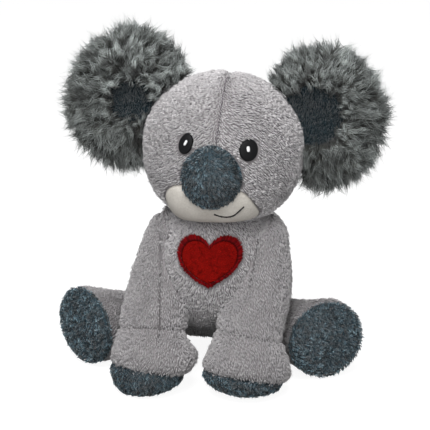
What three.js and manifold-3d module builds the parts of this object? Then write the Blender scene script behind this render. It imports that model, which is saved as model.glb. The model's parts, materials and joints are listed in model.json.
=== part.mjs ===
// A sitting plush koala, sewn from short-pile fabric panels over loose fibre filling.
// Millimetres, +Z up. The koala faces -Y, so its own left side is at +X.
// The origin is under the middle of the whole toy, on the surface that it sits on.
import * as THREE from "three";
import { mergeVertices } from "three/addons/utils/BufferGeometryUtils.js";
import Module from "manifold-3d";

const wasm = await Module();
wasm.setup();

// Cloth
const fabric = 1.8; // backing with its pressed pile
const longPile = 3.2; // the same for the ears
const seam = 0.3; // open line between two panels, and between a piece and what it rests on
const sliding = 1; // room between forms that move past each other
const slack = 0.4; // room between a skin and the fibre inside it
const pressed = 0.5; // how deep the soft underside is flattened
const beyond = 400; // how far a cutting block runs past the toy

// Torso: a round chest that runs into a wider seat
const chest = { radius: 38, forward: 8, height: 57 };
const seat = { halfWidth: 37, halfDepth: 31, above: 27, below: 27, back: 29, blend: 16 };
const seatPower = { above: 2, below: 3 };
const hipFlat = { depth: 4, height: 40 };
const sideSeamBack = 4; // from the middle of the chest to the side seams

// Head, a round crown over a squarer jaw
const head = { halfWidth: 42.4, halfDepth: 39, above: 38.5, below: 40, overlap: 12, forward: 2 };
const headPower = { above: 2, below: 3 };
const poseAngle = { turn: 1.4, tilt: 4.3 }; // degrees
const neckSeam = { thickness: 1, startAngle: 20, endAngle: 32 }; // degrees from straight up
const turnAngle = 18; // degrees that the head turns each way
const nodAngle = { back: 10, down: 6, step: 6 }; // degrees
const headRoom = 2.3; // between the shoulders and the head above them
const muzzle = { halfWidth: 27, halfHeight: 16, drop: 26 };
const nose = { halfWidth: 16, halfDepth: 14.5, halfHeight: 17.3, aside: 1.4, drop: 9.6, stand: 11 };
const noseCover = 1.6;
const eye = { halfWidth: 4.4, halfHeight: 5.6, rise: 5, thickness: 0.9 };
const eyeOut = { left: 16.6, right: 16.4 };
const glint = { halfWidth: 1.1, halfHeight: 2, inward: 0.4, rise: 1, thickness: 0.5 };
const mouth = { near: 1.5, far: 17.5, drop: 30.2, sag: 3, smile: 5, thread: 1.2, thickness: 0.8 };

// Ears: furry cups with a plain patch inside
const ear = { halfWidth: 33, halfHeight: 37.5, halfDepth: 13, rise: 20.5, back: 6, tuck: 24 };
const earDish = { radius: 23, depth: 9, inward: 4 };
const earPatch = { radius: 17 };
const earHinge = 20; // from the middle of the ear in to the seam that it folds along
const earAngle = { left: 4, right: 10 }; // degrees that each ear faces in
const foldAngle = { reach: 12, step: 6 }; // degrees each way

// Front legs, from the shoulder down to the sole. Shoulder and elbow heights are from the
// middle of the chest, wrist and paw heights from the floor.
const arm = {
  shoulder: { x: 24, forward: 3, height: 24, halfWidth: 12, halfDepth: 13 },
  elbow: { x: 29, forward: 20, height: -3, halfWidth: 17.5, halfDepth: 16 },
  wrist: { x: 28.5, forward: 37, height: 30, halfWidth: 17.5, halfDepth: 16 },
  paw: { x: 27, forward: 44, height: 14, halfWidth: 23, halfDepth: 24 },
  sole: { x: 26.5, forward: 45.5, height: 0, halfWidth: 23, halfDepth: 24 },
  topRound: 16,
  soleRound: 13,
};
// How far each arm is posed in from that, at each section
const armIn = {
  left: { shoulder: 0, elbow: 2, wrist: 4.5, paw: 4.4, sole: 4.4 },
  right: { shoulder: 5, elbow: 2.5, wrist: 0, paw: 0, sole: 0 },
};
const sleeveSeam = 31; // the seam down the front of each sleeve, from the middle of the toy
const wristSeam = { height: 35, angle: 4 }; // degrees up at the back
const pawSeam = { height: 10.5, angle: -12 };
const swingAngle = 15; // degrees

// Hind legs, turned out from the hip
const leg = { length: 60, hipRadius: 13.5, soleRadius: 22.5, back: 24, soleRound: 6 };
const footSeam = 5; // from the tip of the sole to its seam
const splayAngle = { left: 31, right: 42 }; // degrees out from straight ahead

// Heart sewn on the chest
const heart = { halfWidth: 17, height: 27, rise: 9.5, x: 1.6, patch: 0.9, border: 1.4, edge: 3 };
// Each lobe, as shares of half the width and half the height
const heartShares = [
  { out: [0.45, -0.55], back: [1, -0.1], to: [1, 0.38] },
  { out: [1, 1], back: [0.25, 1.3], to: [0, 0.68] },
];

// How finely each form is faceted
const fine = { round: 20, high: 12 };
const plain = { round: 12, high: 8 };
const inside = { round: 9, high: 6 };
const earOutside = { round: 14, high: 7 };
const limb = { round: 12, cap: 3, between: 4 };
const limbInside = { round: 6, cap: 2, between: 4 };
const curveSteps = 6;

const colours = {
  plush: 0xb9b4b6,
  darkPlush: 0x54636e,
  cream: 0xc9c0b4,
  earFur: 0x707878,
  earPatch: 0x323c46,
  black: 0x17181b,
  white: 0xe8e8ea,
  red: 0xa31616,
  darkRed: 0x86101c,
  fibre: 0xf1f0ec,
};

const vector = (x, y, z) => new THREE.Vector3(x, y, z);
const towardsX = vector(1, 0, 0);
const towardsY = vector(0, 1, 0);
const towardsZ = vector(0, 0, 1);
const radians = THREE.MathUtils.degToRad;
const middle = vector(0, 0, 0);

function cloth(colour) {
  return new THREE.MeshStandardMaterial({ color: colour, roughness: 0.95, metalness: 0 });
}

// A closed geometry as a solid that can be joined and cut.
function solid(geometry) {
  const bare = new THREE.BufferGeometry();
  bare.setAttribute("position", geometry.getAttribute("position"));
  if (geometry.index) bare.setIndex(geometry.index);
  const merged = mergeVertices(bare);
  return new wasm.Manifold(
    new wasm.Mesh({
      numProp: 3,
      vertProperties: merged.attributes.position.array,
      triVerts: new Uint32Array(merged.index.array),
    }),
  );
}

function geometryOf(made) {
  const mesh = made.getMesh();
  const geometry = new THREE.BufferGeometry();
  geometry.setAttribute("position", new THREE.BufferAttribute(mesh.vertProperties, mesh.numProp));
  geometry.setIndex(new THREE.BufferAttribute(mesh.triVerts, 1));
  return geometry;
}

// A named piece, without the slivers that a cut can leave beside it.
function node(name, made, colour) {
  const largest = made.decompose().sort((a, b) => b.volume() - a.volume())[0];
  const mesh = new THREE.Mesh(geometryOf(largest), cloth(colour));
  mesh.geometry.computeVertexNormals();
  mesh.name = name;
  return mesh;
}

function moved(made, matrix) {
  return solid(geometryOf(made).applyMatrix4(matrix));
}

// The space beyond a plane, on the side that normal points to.
function halfSpace(normal, point) {
  const way = normal.clone().normalize();
  const turn = new THREE.Quaternion().setFromUnitVectors(towardsZ, way);
  const centre = point.clone().addScaledVector(way, beyond / 2);
  const block = new THREE.BoxGeometry(beyond, beyond, beyond);
  return solid(block.applyQuaternion(turn).translate(centre.x, centre.y, centre.z));
}

function away(normal) {
  return normal.clone().negate();
}

// What is left on each side of an open line in a plane.
function splitBy(made, normal, point) {
  const gap = normal.clone().multiplyScalar(seam / 2);
  return {
    ahead: made.intersect(halfSpace(normal, point.clone().add(gap))),
    behind: made.intersect(halfSpace(away(normal), point.clone().sub(gap))),
  };
}

// Fields: below zero inside a form, zero on its surface
function ellipsoid(halfX, halfY, halfZ, centre = middle) {
  const least = Math.min(halfX, halfY, halfZ);
  return (p) => {
    const x = (p.x - centre.x) / halfX;
    const y = (p.y - centre.y) / halfY;
    const z = (p.z - centre.z) / halfZ;
    return (Math.hypot(x, y, z) - 1) * least;
  };
}

// A form with its own height and squareness above its middle and below it.
function ovoid(size, power, centre) {
  return (p) => {
    const part = p.z > centre.z ? "above" : "below";
    const x = (p.x - centre.x) / size.halfWidth;
    const y = (p.y - centre.y) / size.halfDepth;
    const z = Math.abs(p.z - centre.z) / size[part];
    const reach = (Math.hypot(x, y) ** power[part] + z ** power[part]) ** (1 / power[part]);
    return (reach - 1) * size.halfDepth;
  };
}

function blended(first, second, blend) {
  return (p) => {
    const a = first(p);
    const b = second(p);
    const near = Math.max(blend - Math.abs(a - b), 0);
    return Math.min(a, b) - (near * near) / (4 * blend);
  };
}

const grown = (field, by) => (p) => field(p) - by;

// The closed surface where a field is zero, found outwards from a point inside it.
function wrap(field, centre, facets) {
  const ball = new THREE.SphereGeometry(1, facets.round, facets.high).rotateX(Math.PI / 2);
  const places = ball.getAttribute("position");
  const way = new THREE.Vector3();
  const point = new THREE.Vector3();
  const halvings = 40;
  for (let i = 0; i < places.count; i++) {
    way.fromBufferAttribute(places, i).normalize();
    let low = 0;
    let high = beyond;
    for (let k = 0; k < halvings; k++) {
      const reach = (low + high) / 2;
      if (field(point.copy(centre).addScaledVector(way, reach)) < 0) low = reach;
      else high = reach;
    }
    point.copy(centre).addScaledVector(way, low);
    places.setXYZ(i, point.x, point.y, point.z);
  }
  return solid(ball);
}

// Where the rings of a tube lie: close together over its round ends.
function ringPlaces(length, capStart, capEnd, facets) {
  const rings = [];
  for (let i = 1; i <= facets.cap; i++) {
    const angle = (i / facets.cap) * (Math.PI / 2);
    rings.push({ at: capStart * (1 - Math.cos(angle)), swell: Math.sin(angle) });
  }
  const straight = length - capStart - capEnd;
  for (let i = 1; i < facets.between; i++)
    rings.push({ at: capStart + (straight * i) / facets.between, swell: 1 });
  for (let i = facets.cap; i >= 1; i--) {
    const angle = (i / facets.cap) * (Math.PI / 2);
    rings.push({ at: length - capEnd * (1 - Math.cos(angle)), swell: Math.sin(angle) });
  }
  return rings;
}

// A soft tube through sections, with round ends. Inset draws all of it in.
function tube(sections, capStart, capEnd, facets, inset = 0) {
  const line = new THREE.CatmullRomCurve3(sections.map((s) => s.at));
  const girth = new THREE.CatmullRomCurve3(
    sections.map((s) => vector(s.halfWidth, s.halfDepth, 0)),
  );
  const length = line.getLength();
  const inner = length - inset * 2;
  const places = [];
  const indices = [];
  const tip = (distance) => places.push(...line.getPointAt(distance / length).toArray());
  const rings = ringPlaces(inner, capStart - inset, capEnd - inset, facets);
  tip(inset);
  for (const { at, swell } of rings) {
    const share = (at + inset) / length;
    const centre = line.getPointAt(share);
    const size = girth.getPoint(line.getUtoTmapping(share));
    const along = line.getTangentAt(share);
    const deepWay = new THREE.Vector3().crossVectors(along, towardsX).normalize();
    const wideWay = new THREE.Vector3().crossVectors(deepWay, along).normalize();
    for (let j = 0; j < facets.round; j++) {
      const angle = (j / facets.round) * 2 * Math.PI;
      const p = centre
        .clone()
        .addScaledVector(wideWay, Math.cos(angle) * (size.x - inset) * swell)
        .addScaledVector(deepWay, Math.sin(angle) * (size.y - inset) * swell);
      places.push(p.x, p.y, p.z);
    }
  }
  tip(length - inset);
  const last = rings.length * facets.round + 1;
  const at = (ring, j) => 1 + ring * facets.round + (j % facets.round);
  for (let j = 0; j < facets.round; j++) {
    indices.push(0, at(0, j + 1), at(0, j));
    for (let ring = 0; ring < rings.length - 1; ring++) {
      indices.push(at(ring, j), at(ring, j + 1), at(ring + 1, j));
      indices.push(at(ring, j + 1), at(ring + 1, j + 1), at(ring + 1, j));
    }
    indices.push(last, at(rings.length - 1, j), at(rings.length - 1, j + 1));
  }
  const geometry = new THREE.BufferGeometry();
  geometry.setAttribute("position", new THREE.Float32BufferAttribute(places, 3));
  geometry.setIndex(indices);
  return solid(geometry);
}

// The space that a solid sweeps as it turns about a line, in degrees.
function swept(made, point, axis, from, to, step) {
  const turn = new THREE.Matrix4();
  const shift = new THREE.Matrix4().makeTranslation(point.x, point.y, point.z);
  const unshift = shift.clone().invert();
  let whole = made;
  for (let angle = from; angle <= to; angle += step) {
    turn.makeRotationAxis(axis, radians(angle));
    whole = whole.add(moved(made, shift.clone().multiply(turn).multiply(unshift)));
  }
  return whole;
}

// An outline in X and Z, run forwards through the front of a form.
function forwards(shape, x, z, from) {
  const geometry = new THREE.ExtrudeGeometry(shape, {
    depth: beyond,
    bevelEnabled: false,
    curveSegments: curveSteps,
  });
  return solid(geometry.rotateX(Math.PI / 2).translate(x, from, z));
}

function oval(halfWidth, halfHeight) {
  return new THREE.Shape().absellipse(0, 0, halfWidth, halfHeight, 0, 2 * Math.PI);
}

// A layer that lies over a field, from one height above it to another.
function layer(field, centre, under, over) {
  const top = wrap(grown(field, over), centre, fine);
  return top.subtract(wrap(grown(field, under), centre, fine));
}

// Torso, in the toy's own frame
const chestMiddle = vector(0, -chest.forward, chest.height);
const seatMiddle = vector(0, seat.back, seat.below - pressed);
const hipOut = seat.halfWidth - hipFlat.depth;
const chestField = ellipsoid(chest.radius, chest.radius, chest.radius, chestMiddle);
const seatField = ovoid(seat, seatPower, seatMiddle);
const torsoField = blended(chestField, seatField, seat.blend);
const torsoMiddle = chestMiddle.clone().lerp(seatMiddle, 0.5);

// The seat is flattened where each hind leg leans on it.
function hipPresses(inset) {
  const low = halfSpace(away(towardsZ), vector(0, 0, hipFlat.height));
  const left = halfSpace(towardsX, vector(hipOut - inset, 0, 0));
  const right = halfSpace(away(towardsX), vector(inset - hipOut, 0, 0));
  return left.add(right).intersect(low);
}

function torsoBody(inset, facets) {
  return wrap(grown(torsoField, -inset), torsoMiddle, facets)
    .subtract(hipPresses(inset))
    .intersect(halfSpace(towardsZ, vector(0, 0, inset)));
}

function torso() {
  const group = new THREE.Group();
  const skin = torsoBody(0, fine).subtract(torsoBody(fabric, inside));
  const sides = splitBy(skin, towardsY, vector(0, sideSeamBack - chest.forward, 0));
  const backs = splitBy(sides.ahead, towardsX, middle);
  group.add(node("chest_panel", sides.behind, colours.plush));
  group.add(node("back_panel_left", backs.ahead, colours.plush));
  group.add(node("back_panel_right", backs.behind, colours.plush));
  group.add(node("torso_filling", torsoBody(fabric + slack, inside), colours.fibre));
  group.add(...heartPieces());
  return group;
}

function heartShape(inset) {
  const half = heart.halfWidth - inset;
  const tall = heart.height / 2 - inset;
  const shape = new THREE.Shape().moveTo(0, -tall);
  const place = ([x, z], side) => [x * half * side, z * tall];
  for (const { out, back, to } of heartShares)
    shape.bezierCurveTo(...place(out, 1), ...place(back, 1), ...place(to, 1));
  const ends = [[0, -1], ...heartShares.map(({ to }) => to)];
  for (let i = heartShares.length - 1; i >= 0; i--) {
    const { out, back } = heartShares[i];
    shape.bezierCurveTo(...place(back, -1), ...place(out, -1), ...place(ends[i], -1));
  }
  return shape;
}

function heartPieces() {
  const height = chestMiddle.z + heart.rise;
  const prism = (inset) => forwards(heartShape(inset), heart.x, height, chestMiddle.y);
  const low = layer(torsoField, torsoMiddle, seam, seam + heart.patch);
  const high = layer(torsoField, torsoMiddle, seam, seam + heart.border);
  const patch = prism(heart.edge + seam).intersect(low);
  const border = prism(0).subtract(prism(heart.edge)).intersect(high);
  return [
    node("heart_patch", patch, colours.red),
    node("heart_border", border, colours.darkRed),
  ];
}

// Head, in a frame at the middle of the chest, about which it turns and nods
const headRise = chest.radius + head.below - head.overlap;
const headMiddle = vector(0, -head.forward, headRise);
const headField = ovoid(head, headPower, headMiddle);
const neckRadius = chest.radius + sliding * 2 + neckSeam.thickness;
const headFrame = new THREE.Matrix4()
  .makeRotationFromEuler(new THREE.Euler(0, radians(poseAngle.tilt), radians(poseAngle.turn)))
  .setPosition(chestMiddle);

function neckBall(clearance) {
  const radius = neckRadius + clearance;
  return wrap(ellipsoid(radius, radius, radius), middle, fine);
}

function headBody(inset, facets) {
  return wrap(grown(headField, -inset), headMiddle, facets).subtract(neckBall(inset));
}

function neckRing() {
  const inner = chest.radius + sliding;
  const outer = inner + neckSeam.thickness;
  const profile = [];
  const corner = (radius, angle) =>
    profile.push(
      new THREE.Vector2(radius * Math.sin(radians(angle)), radius * Math.cos(radians(angle))),
    );
  const steps = 3;
  const span = (neckSeam.endAngle - neckSeam.startAngle) / steps;
  for (let i = 0; i <= steps; i++) corner(inner, neckSeam.startAngle + span * i);
  for (let i = steps; i >= 0; i--) corner(outer, neckSeam.startAngle + span * i);
  profile.push(profile[0].clone());
  const ring = new THREE.LatheGeometry(profile, fine.round).rotateX(Math.PI / 2);
  return node("neck_seam", solid(ring), colours.plush);
}

function headPieces() {
  const skin = headBody(0, fine).subtract(headBody(fabric, inside));
  const height = headMiddle.z - muzzle.drop;
  const shape = (gap) => oval(muzzle.halfWidth + gap, muzzle.halfHeight + gap);
  const muzzlePanel = skin.intersect(forwards(shape(0), 0, height, headMiddle.y));
  const cheeks = skin.subtract(forwards(shape(seam), 0, height, headMiddle.y));
  const halves = splitBy(cheeks, towardsX, middle);
  return [
    node("head_panel_left", halves.ahead, colours.plush),
    node("head_panel_right", halves.behind, colours.plush),
    node("muzzle_panel", muzzlePanel, colours.cream),
    node("head_filling", headBody(fabric + slack, inside), colours.fibre),
    ...nosePieces(),
    ...eyePieces("left", 1),
    ...eyePieces("right", -1),
    mouthStitch(),
  ];
}

function nosePieces() {
  const front = headMiddle.y - head.halfDepth;
  const centre = vector(
    -nose.aside,
    front - nose.stand + nose.halfDepth,
    headMiddle.z - nose.drop,
  );
  const ball = (inset, facets) => {
    const half = [nose.halfWidth - inset, nose.halfDepth - inset, nose.halfHeight - inset];
    return wrap(ellipsoid(...half, centre), centre, facets);
  };
  const body = (inset, facets) =>
    ball(inset, facets).subtract(wrap(grown(headField, seam + inset), headMiddle, fine));
  return [
    node("nose_cover", body(0, plain).subtract(ball(noseCover, inside)), colours.darkPlush),
    node("nose_filling", body(noseCover + slack, inside), colours.fibre),
  ];
}

function eyePieces(name, side) {
  const x = eyeOut[name] * side;
  const z = headMiddle.z + eye.rise;
  const top = seam + eye.thickness;
  const shape = forwards(oval(eye.halfWidth, eye.halfHeight), x, z, headMiddle.y);
  const spot = forwards(
    oval(glint.halfWidth, glint.halfHeight),
    x - glint.inward * side,
    z + glint.rise,
    headMiddle.y,
  );
  const stitches = layer(headField, headMiddle, seam, top);
  const shine = layer(headField, headMiddle, top + seam, top + seam + glint.thickness);
  return [
    node(`eye_${name}`, shape.intersect(stitches), colours.black),
    node(`eye_glint_${name}`, spot.intersect(shine), colours.white),
  ];
}

// A line of stitches that sags from under the nose and rises on the koala's left.
function mouthStitch() {
  const half = mouth.thread / 2;
  const low = -mouth.sag;
  const centre = (mouth.near + mouth.far) / 2;
  const shape = new THREE.Shape()
    .moveTo(mouth.near, half)
    .quadraticCurveTo(centre, low + half, mouth.far, mouth.smile + half)
    .lineTo(mouth.far, mouth.smile - half)
    .quadraticCurveTo(centre, low - half, mouth.near, -half)
    .closePath();
  const line = forwards(shape, 0, headMiddle.z - mouth.drop, headMiddle.y);
  const band = layer(headField, headMiddle, seam, seam + mouth.thickness);
  return node("mouth_stitch", line.intersect(band), colours.black);
}

// An ear, in a frame on the seam that it folds along
function earGroup(name, side) {
  const group = new THREE.Group();
  const out = head.halfWidth + ear.halfWidth - ear.tuck - earHinge;
  group.position.set(out * side, headMiddle.y + ear.back, headMiddle.z + ear.rise);
  group.rotation.z = radians(-earAngle[name] * side);
  group.updateMatrix();
  const toEar = group.matrix.clone().invert();
  const clearance = (inset) =>
    swept(
      moved(wrap(grown(headField, seam + inset), headMiddle, fine), toEar),
      middle,
      towardsZ,
      -foldAngle.reach,
      foldAngle.reach,
      foldAngle.step,
    );
  const centre = vector(earHinge * side, 0, 0);
  const dishMiddle = vector((earHinge - earDish.inward) * side, -ear.halfDepth, 0);
  const body = (inset, facets) => {
    const half = [ear.halfWidth - inset, ear.halfDepth - inset, ear.halfHeight - inset];
    const wide = earDish.radius + inset;
    const dish = wrap(ellipsoid(wide, earDish.depth + inset, wide, dishMiddle), dishMiddle, facets);
    return wrap(ellipsoid(...half, centre), centre, facets).subtract(dish);
  };
  const skin = body(0, earOutside).subtract(body(longPile, inside));
  const faces = splitBy(skin, towardsY, middle);
  const hole = (gap) =>
    forwards(oval(earPatch.radius + gap, earPatch.radius + gap), dishMiddle.x, 0, 0);
  const clear = clearance(0);
  const fibre = body(longPile + slack, inside).subtract(clearance(longPile));
  group.add(
    node(`ear_back_${name}`, faces.ahead.subtract(clear), colours.earFur),
    node(`ear_front_${name}`, faces.behind.subtract(hole(seam)).subtract(clear), colours.earFur),
    node(`ear_patch_${name}`, faces.behind.intersect(hole(0)).subtract(clear), colours.earPatch),
    node(`ear_filling_${name}`, fibre, colours.fibre),
  );
  return group;
}

function headGroup() {
  const group = new THREE.Group();
  group.applyMatrix4(headFrame);
  group.add(...headPieces(), earGroup("left", 1), earGroup("right", -1));
  return group;
}

// A front leg, in the toy's own frame
function armPieces(name, side) {
  const section = (at, from) => ({
    ...arm[at],
    at: vector(
      (arm[at].x - armIn[name][at]) * side,
      chestMiddle.y - arm[at].forward,
      from + arm[at].height,
    ),
  });
  const sections = [
    section("shoulder", chestMiddle.z),
    section("elbow", chestMiddle.z),
    section("wrist", 0),
    section("paw", 0),
    section("sole", -pressed),
  ];
  const keepOut = (inset) => {
    const radius = chest.radius + sliding + inset;
    const ball = wrap(ellipsoid(radius, radius, radius, chestMiddle), chestMiddle, fine);
    const rest = wrap(grown(torsoField, sliding + inset), torsoMiddle, fine);
    return ball.add(rest).add(headSweep(inset));
  };
  const body = (inset, facets) =>
    tube(sections, arm.topRound, arm.soleRound, facets, inset)
      .subtract(keepOut(inset))
      .intersect(halfSpace(towardsZ, vector(0, 0, inset)));
  const skin = body(0, limb).subtract(
    tube(sections, arm.topRound, arm.soleRound, limbInside, fabric)
      .intersect(halfSpace(towardsZ, vector(0, 0, fabric)))
      .subtract(keepOut(fabric)),
  );
  const slope = (degrees) => towardsZ.clone().applyAxisAngle(towardsX, radians(degrees));
  const wristAt = vector(0, chestMiddle.y - arm.wrist.forward, wristSeam.height);
  const pawAt = vector(0, chestMiddle.y - arm.paw.forward, pawSeam.height);
  const wrist = splitBy(skin, slope(wristSeam.angle), wristAt);
  const paw = splitBy(wrist.behind, slope(pawSeam.angle), pawAt);
  const sleeve = splitBy(wrist.ahead, towardsX, vector(sleeveSeam * side, 0, 0));
  const outer = side > 0 ? sleeve.ahead : sleeve.behind;
  const inner = side > 0 ? sleeve.behind : sleeve.ahead;
  return [
    node(`sleeve_outer_${name}`, outer, colours.plush),
    node(`sleeve_inner_${name}`, inner, colours.plush),
    node(`paw_cuff_${name}`, paw.ahead, colours.plush),
    node(`paw_pad_${name}`, paw.behind, colours.darkPlush),
    node(`arm_filling_${name}`, body(fabric + slack, limbInside), colours.fibre),
  ];
}

// All the places that the head can be in, as seen from a front leg.
function headSweep(inset) {
  const rest = moved(wrap(grown(headField, headRoom + inset), headMiddle, plain), headFrame);
  const turned = swept(rest, chestMiddle, towardsZ, -turnAngle, turnAngle, turnAngle);
  const down = nodAngle.down + swingAngle;
  return swept(turned, chestMiddle, towardsX, -nodAngle.back, down, nodAngle.step);
}

// A hind leg, in a frame at its hip
function legGroup(name, side) {
  const group = new THREE.Group();
  const hip = vector((hipOut + seam) * side, leg.back, leg.hipRadius - pressed);
  group.position.copy(hip);
  const splay = radians(splayAngle[name]);
  const way = vector(Math.sin(splay) * side, -Math.cos(splay), 0);
  const end = way.clone().multiplyScalar(leg.length).setZ(leg.soleRadius - leg.hipRadius);
  const half = (radius) => ({ halfWidth: radius, halfDepth: radius });
  const sections = [
    { at: way.clone().multiplyScalar(-leg.hipRadius), ...half(leg.hipRadius) },
    { at: end.clone().multiplyScalar(1 / 2), ...half((leg.hipRadius + leg.soleRadius) / 2) },
    { at: end, ...half(leg.soleRadius) },
  ];
  const body = (inset, facets) =>
    tube(sections, leg.hipRadius, leg.soleRound, facets, inset)
      .intersect(halfSpace(vector(side, 0, 0), vector(inset * side, 0, 0)))
      .intersect(halfSpace(towardsZ, vector(0, 0, inset - hip.z)));
  const skin = body(0, limb).subtract(body(fabric, limbInside));
  const foot = splitBy(skin, way, end.clone().addScaledVector(way, -footSeam));
  group.add(
    node(`leg_skin_${name}`, foot.behind, colours.plush),
    node(`foot_sole_${name}`, foot.ahead, colours.darkPlush),
    node(`leg_filling_${name}`, body(fabric + slack, limbInside), colours.fibre),
  );
  return group;
}

const toy = new THREE.Group();
const neck = new THREE.Group();
neck.position.copy(chestMiddle);
neck.add(neckRing());
toy.add(torso(), neck, headGroup());
toy.add(...armPieces("left", 1), ...armPieces("right", -1));
toy.add(legGroup("left", 1), legGroup("right", -1));

// The toy is moved until the middle of its outline is over the origin.
const koala = new THREE.Group();
const outline = new THREE.Box3().setFromObject(toy, true);
toy.position.copy(outline.getCenter(vector(0, 0, 0))).negate().setZ(0);
koala.add(toy);

export default koala;
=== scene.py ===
"""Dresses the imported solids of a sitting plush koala.

Each stuffed form gets a smooth cloth skin with sewn seams, and real pile grown on it: short and
combed on the body, long on the ears. The heart, eyes and mouth are felt and thread.

Forms are drawn in millimetres in the toy's own frame, where the middle of its back seam is at
x = 0 and the floor at z = 0, and are put in place in metres when a mesh is made.
"""

import json
import math

import bmesh
import bpy
import numpy as np
from mathutils import Matrix, Vector
from mathutils.bvhtree import BVHTree


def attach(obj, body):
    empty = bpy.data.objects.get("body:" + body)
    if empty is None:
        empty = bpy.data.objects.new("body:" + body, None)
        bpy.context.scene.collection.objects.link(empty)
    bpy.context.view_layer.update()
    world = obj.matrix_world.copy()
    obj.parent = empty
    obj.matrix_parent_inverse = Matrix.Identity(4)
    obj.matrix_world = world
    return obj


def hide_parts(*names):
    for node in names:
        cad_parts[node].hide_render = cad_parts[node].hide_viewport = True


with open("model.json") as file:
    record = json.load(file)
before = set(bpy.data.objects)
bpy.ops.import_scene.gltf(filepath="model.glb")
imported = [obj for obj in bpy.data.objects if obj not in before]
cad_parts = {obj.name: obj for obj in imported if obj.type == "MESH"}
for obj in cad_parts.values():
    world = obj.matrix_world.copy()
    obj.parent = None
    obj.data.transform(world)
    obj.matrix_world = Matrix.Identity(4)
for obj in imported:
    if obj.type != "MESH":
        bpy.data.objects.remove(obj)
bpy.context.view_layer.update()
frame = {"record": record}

MM = 0.001
# the export keeps a map of this name
STRAND_MAP = "OFBake"  # the strands' own map, of each one's shade and the way from root to tip
SIDES = {"left": 1, "right": -1}
PRESSED = 0.5  # the seat's and the soles' round forms sink this far into the floor

# Sizes of the forms, in millimetres and degrees. A form's "half" is half its width, depth and
# height, and "below" is the height of its lower half.
CHEST = {"radius": 38, "forward": 8, "height": 57}
SEAT = {"half": (37, 31, 27), "below": 27, "powers": (2, 3), "back": 29, "blend": 16}
BELLY = {"touch": 42, "slope": 0.4, "round": 9}  # how the underside rises towards the front
HIP = {"out": 33, "top": 40, "gap": 0.3}  # the flat faces that the hind legs rest on
SIDE_SEAM_BACK = 4
HEAD = {"half": (42.4, 39, 38.5), "below": 40, "powers": (2, 3), "overlap": 12, "forward": 2}
JAW = 0.2
HEAD_TURN, HEAD_TILT = math.radians(1.4), math.radians(4.3)
NECK_RADIUS = 41
NOSE = {"half": (16, 14.5, 17.3), "aside": 1.4, "drop": 9.6, "stand": 11, "taper": 0.1}
EYES = {
    "left": {"spot": (16.2, 5.6), "half": (4.6, 5.7), "lean": -8, "shine": (0.8, 1.45)},
    "right": {"spot": (-16.0, 5.7), "half": (3.7, 5.5), "lean": 17, "shine": (0.65, 1.5)},
}
SHINE_RISE = 0.9

# Around the muzzle, as angles across and up from the middle of the head
MUZZLE = (
    *((-51.5, -48), (-49, -39), (-44, -31.5), (-38, -26.8), (-31, -23.6), (-22, -22.6)),
    *((0, -22), (20, -21.3), (28, -26.5), (36, -33.5), (43.5, -39.5), (47, -43)),
    *((44.5, -47.5), (27, -50.5), (3, -52.5), (-22, -54.5), (-42, -56.5), (-50, -54)),
)
MUZZLE_MIDDLE = (0, -38)
MUZZLE_CROWN, MUZZLE_JOWL = 2.0, 1.6

# Along the mouth, from the middle of the head
MOUTH = ((1.4, -29.1), (4.5, -30.1), (7.8, -30.3), (10.9, -29.4), (13.5, -26.9), (16.1, -23.8))
BROW = {"stitches": 26, "from": 76, "to": 14, "step": 1.3}  # down the forehead's seam
EAR = {"hinge": 20, "fold": 12, "head_gap": 0.6}
EAR_ANGLE = {"left": 4, "right": 10}
EAR_DISH = {"left": (4, 1.5), "right": (-0.5, -0.5)}
EAR_CORE = {"half": (28, 8.5, 32.5), "dish": 19, "dip": 6, "peak": {"left": 0.12, "right": 0.2}}
EAR_SHIFT = {"left": (-1.5, 0, -2), "right": (0, 0, -1)}
EAR_PAD = {"left": 14.5, "right": 9.8}

# Shoulder, elbow, wrist, paw and sole: outwards, forwards, height, half the width and depth
ARM = (
    (26, 3, CHEST["height"] + 34, 12, 13),
    (29, 20, CHEST["height"] - 3, 17.5, 16),
    (28.5, 37, 30, 17.5, 16),
    (27, 44, 14, 23, 24),
    (26.5, 45.5, -PRESSED, 23, 24),
)
ARM_IN = {"left": (1.5, 3, 5.5, 4.4, 4.4), "right": (8.3, 5.5, 1, 1.5, 6.5)}
ARM_ROUND = (16, 13)
ARM_SOLE = {"left": 23, "right": 20.3}
SHOULDER_TOP = 91
ARM_GAP = ((25, 40), (-0.5, 0.4))  # gaps to the body at two depths below the shoulder's top
ARM_HEAD_GAP = 0.9

# How far a shoulder stands out from the chest: further to the side, and freely at the bottom
SHOULDER = {"least": 0.7, "from": 12, "aside": 0.45, "top": 0.6, "down": 0.5}
SHOULDER_FREE = {"below": 30, "steep": 2}
SLEEVE_SEAM = {"left": (17.4, 0.11), "right": (17.6, 0.11)}
SLEEVE_END = {"left": 54, "right": 31}
SLEEVE_FOLD = {"left": (1.1, 0.8, 0.35, 0.4), "right": (1.1, 1.0, 0.6, 0.45)}

# Heights of sloping seams, and how far they lean forwards and aside
WRIST_SEAM = {"left": (29.5, -15, -10), "right": (31, -18, 0)}
PAW_SEAM = {"left": (10, -12, -8), "right": (11.5, -12, -8)}

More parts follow.
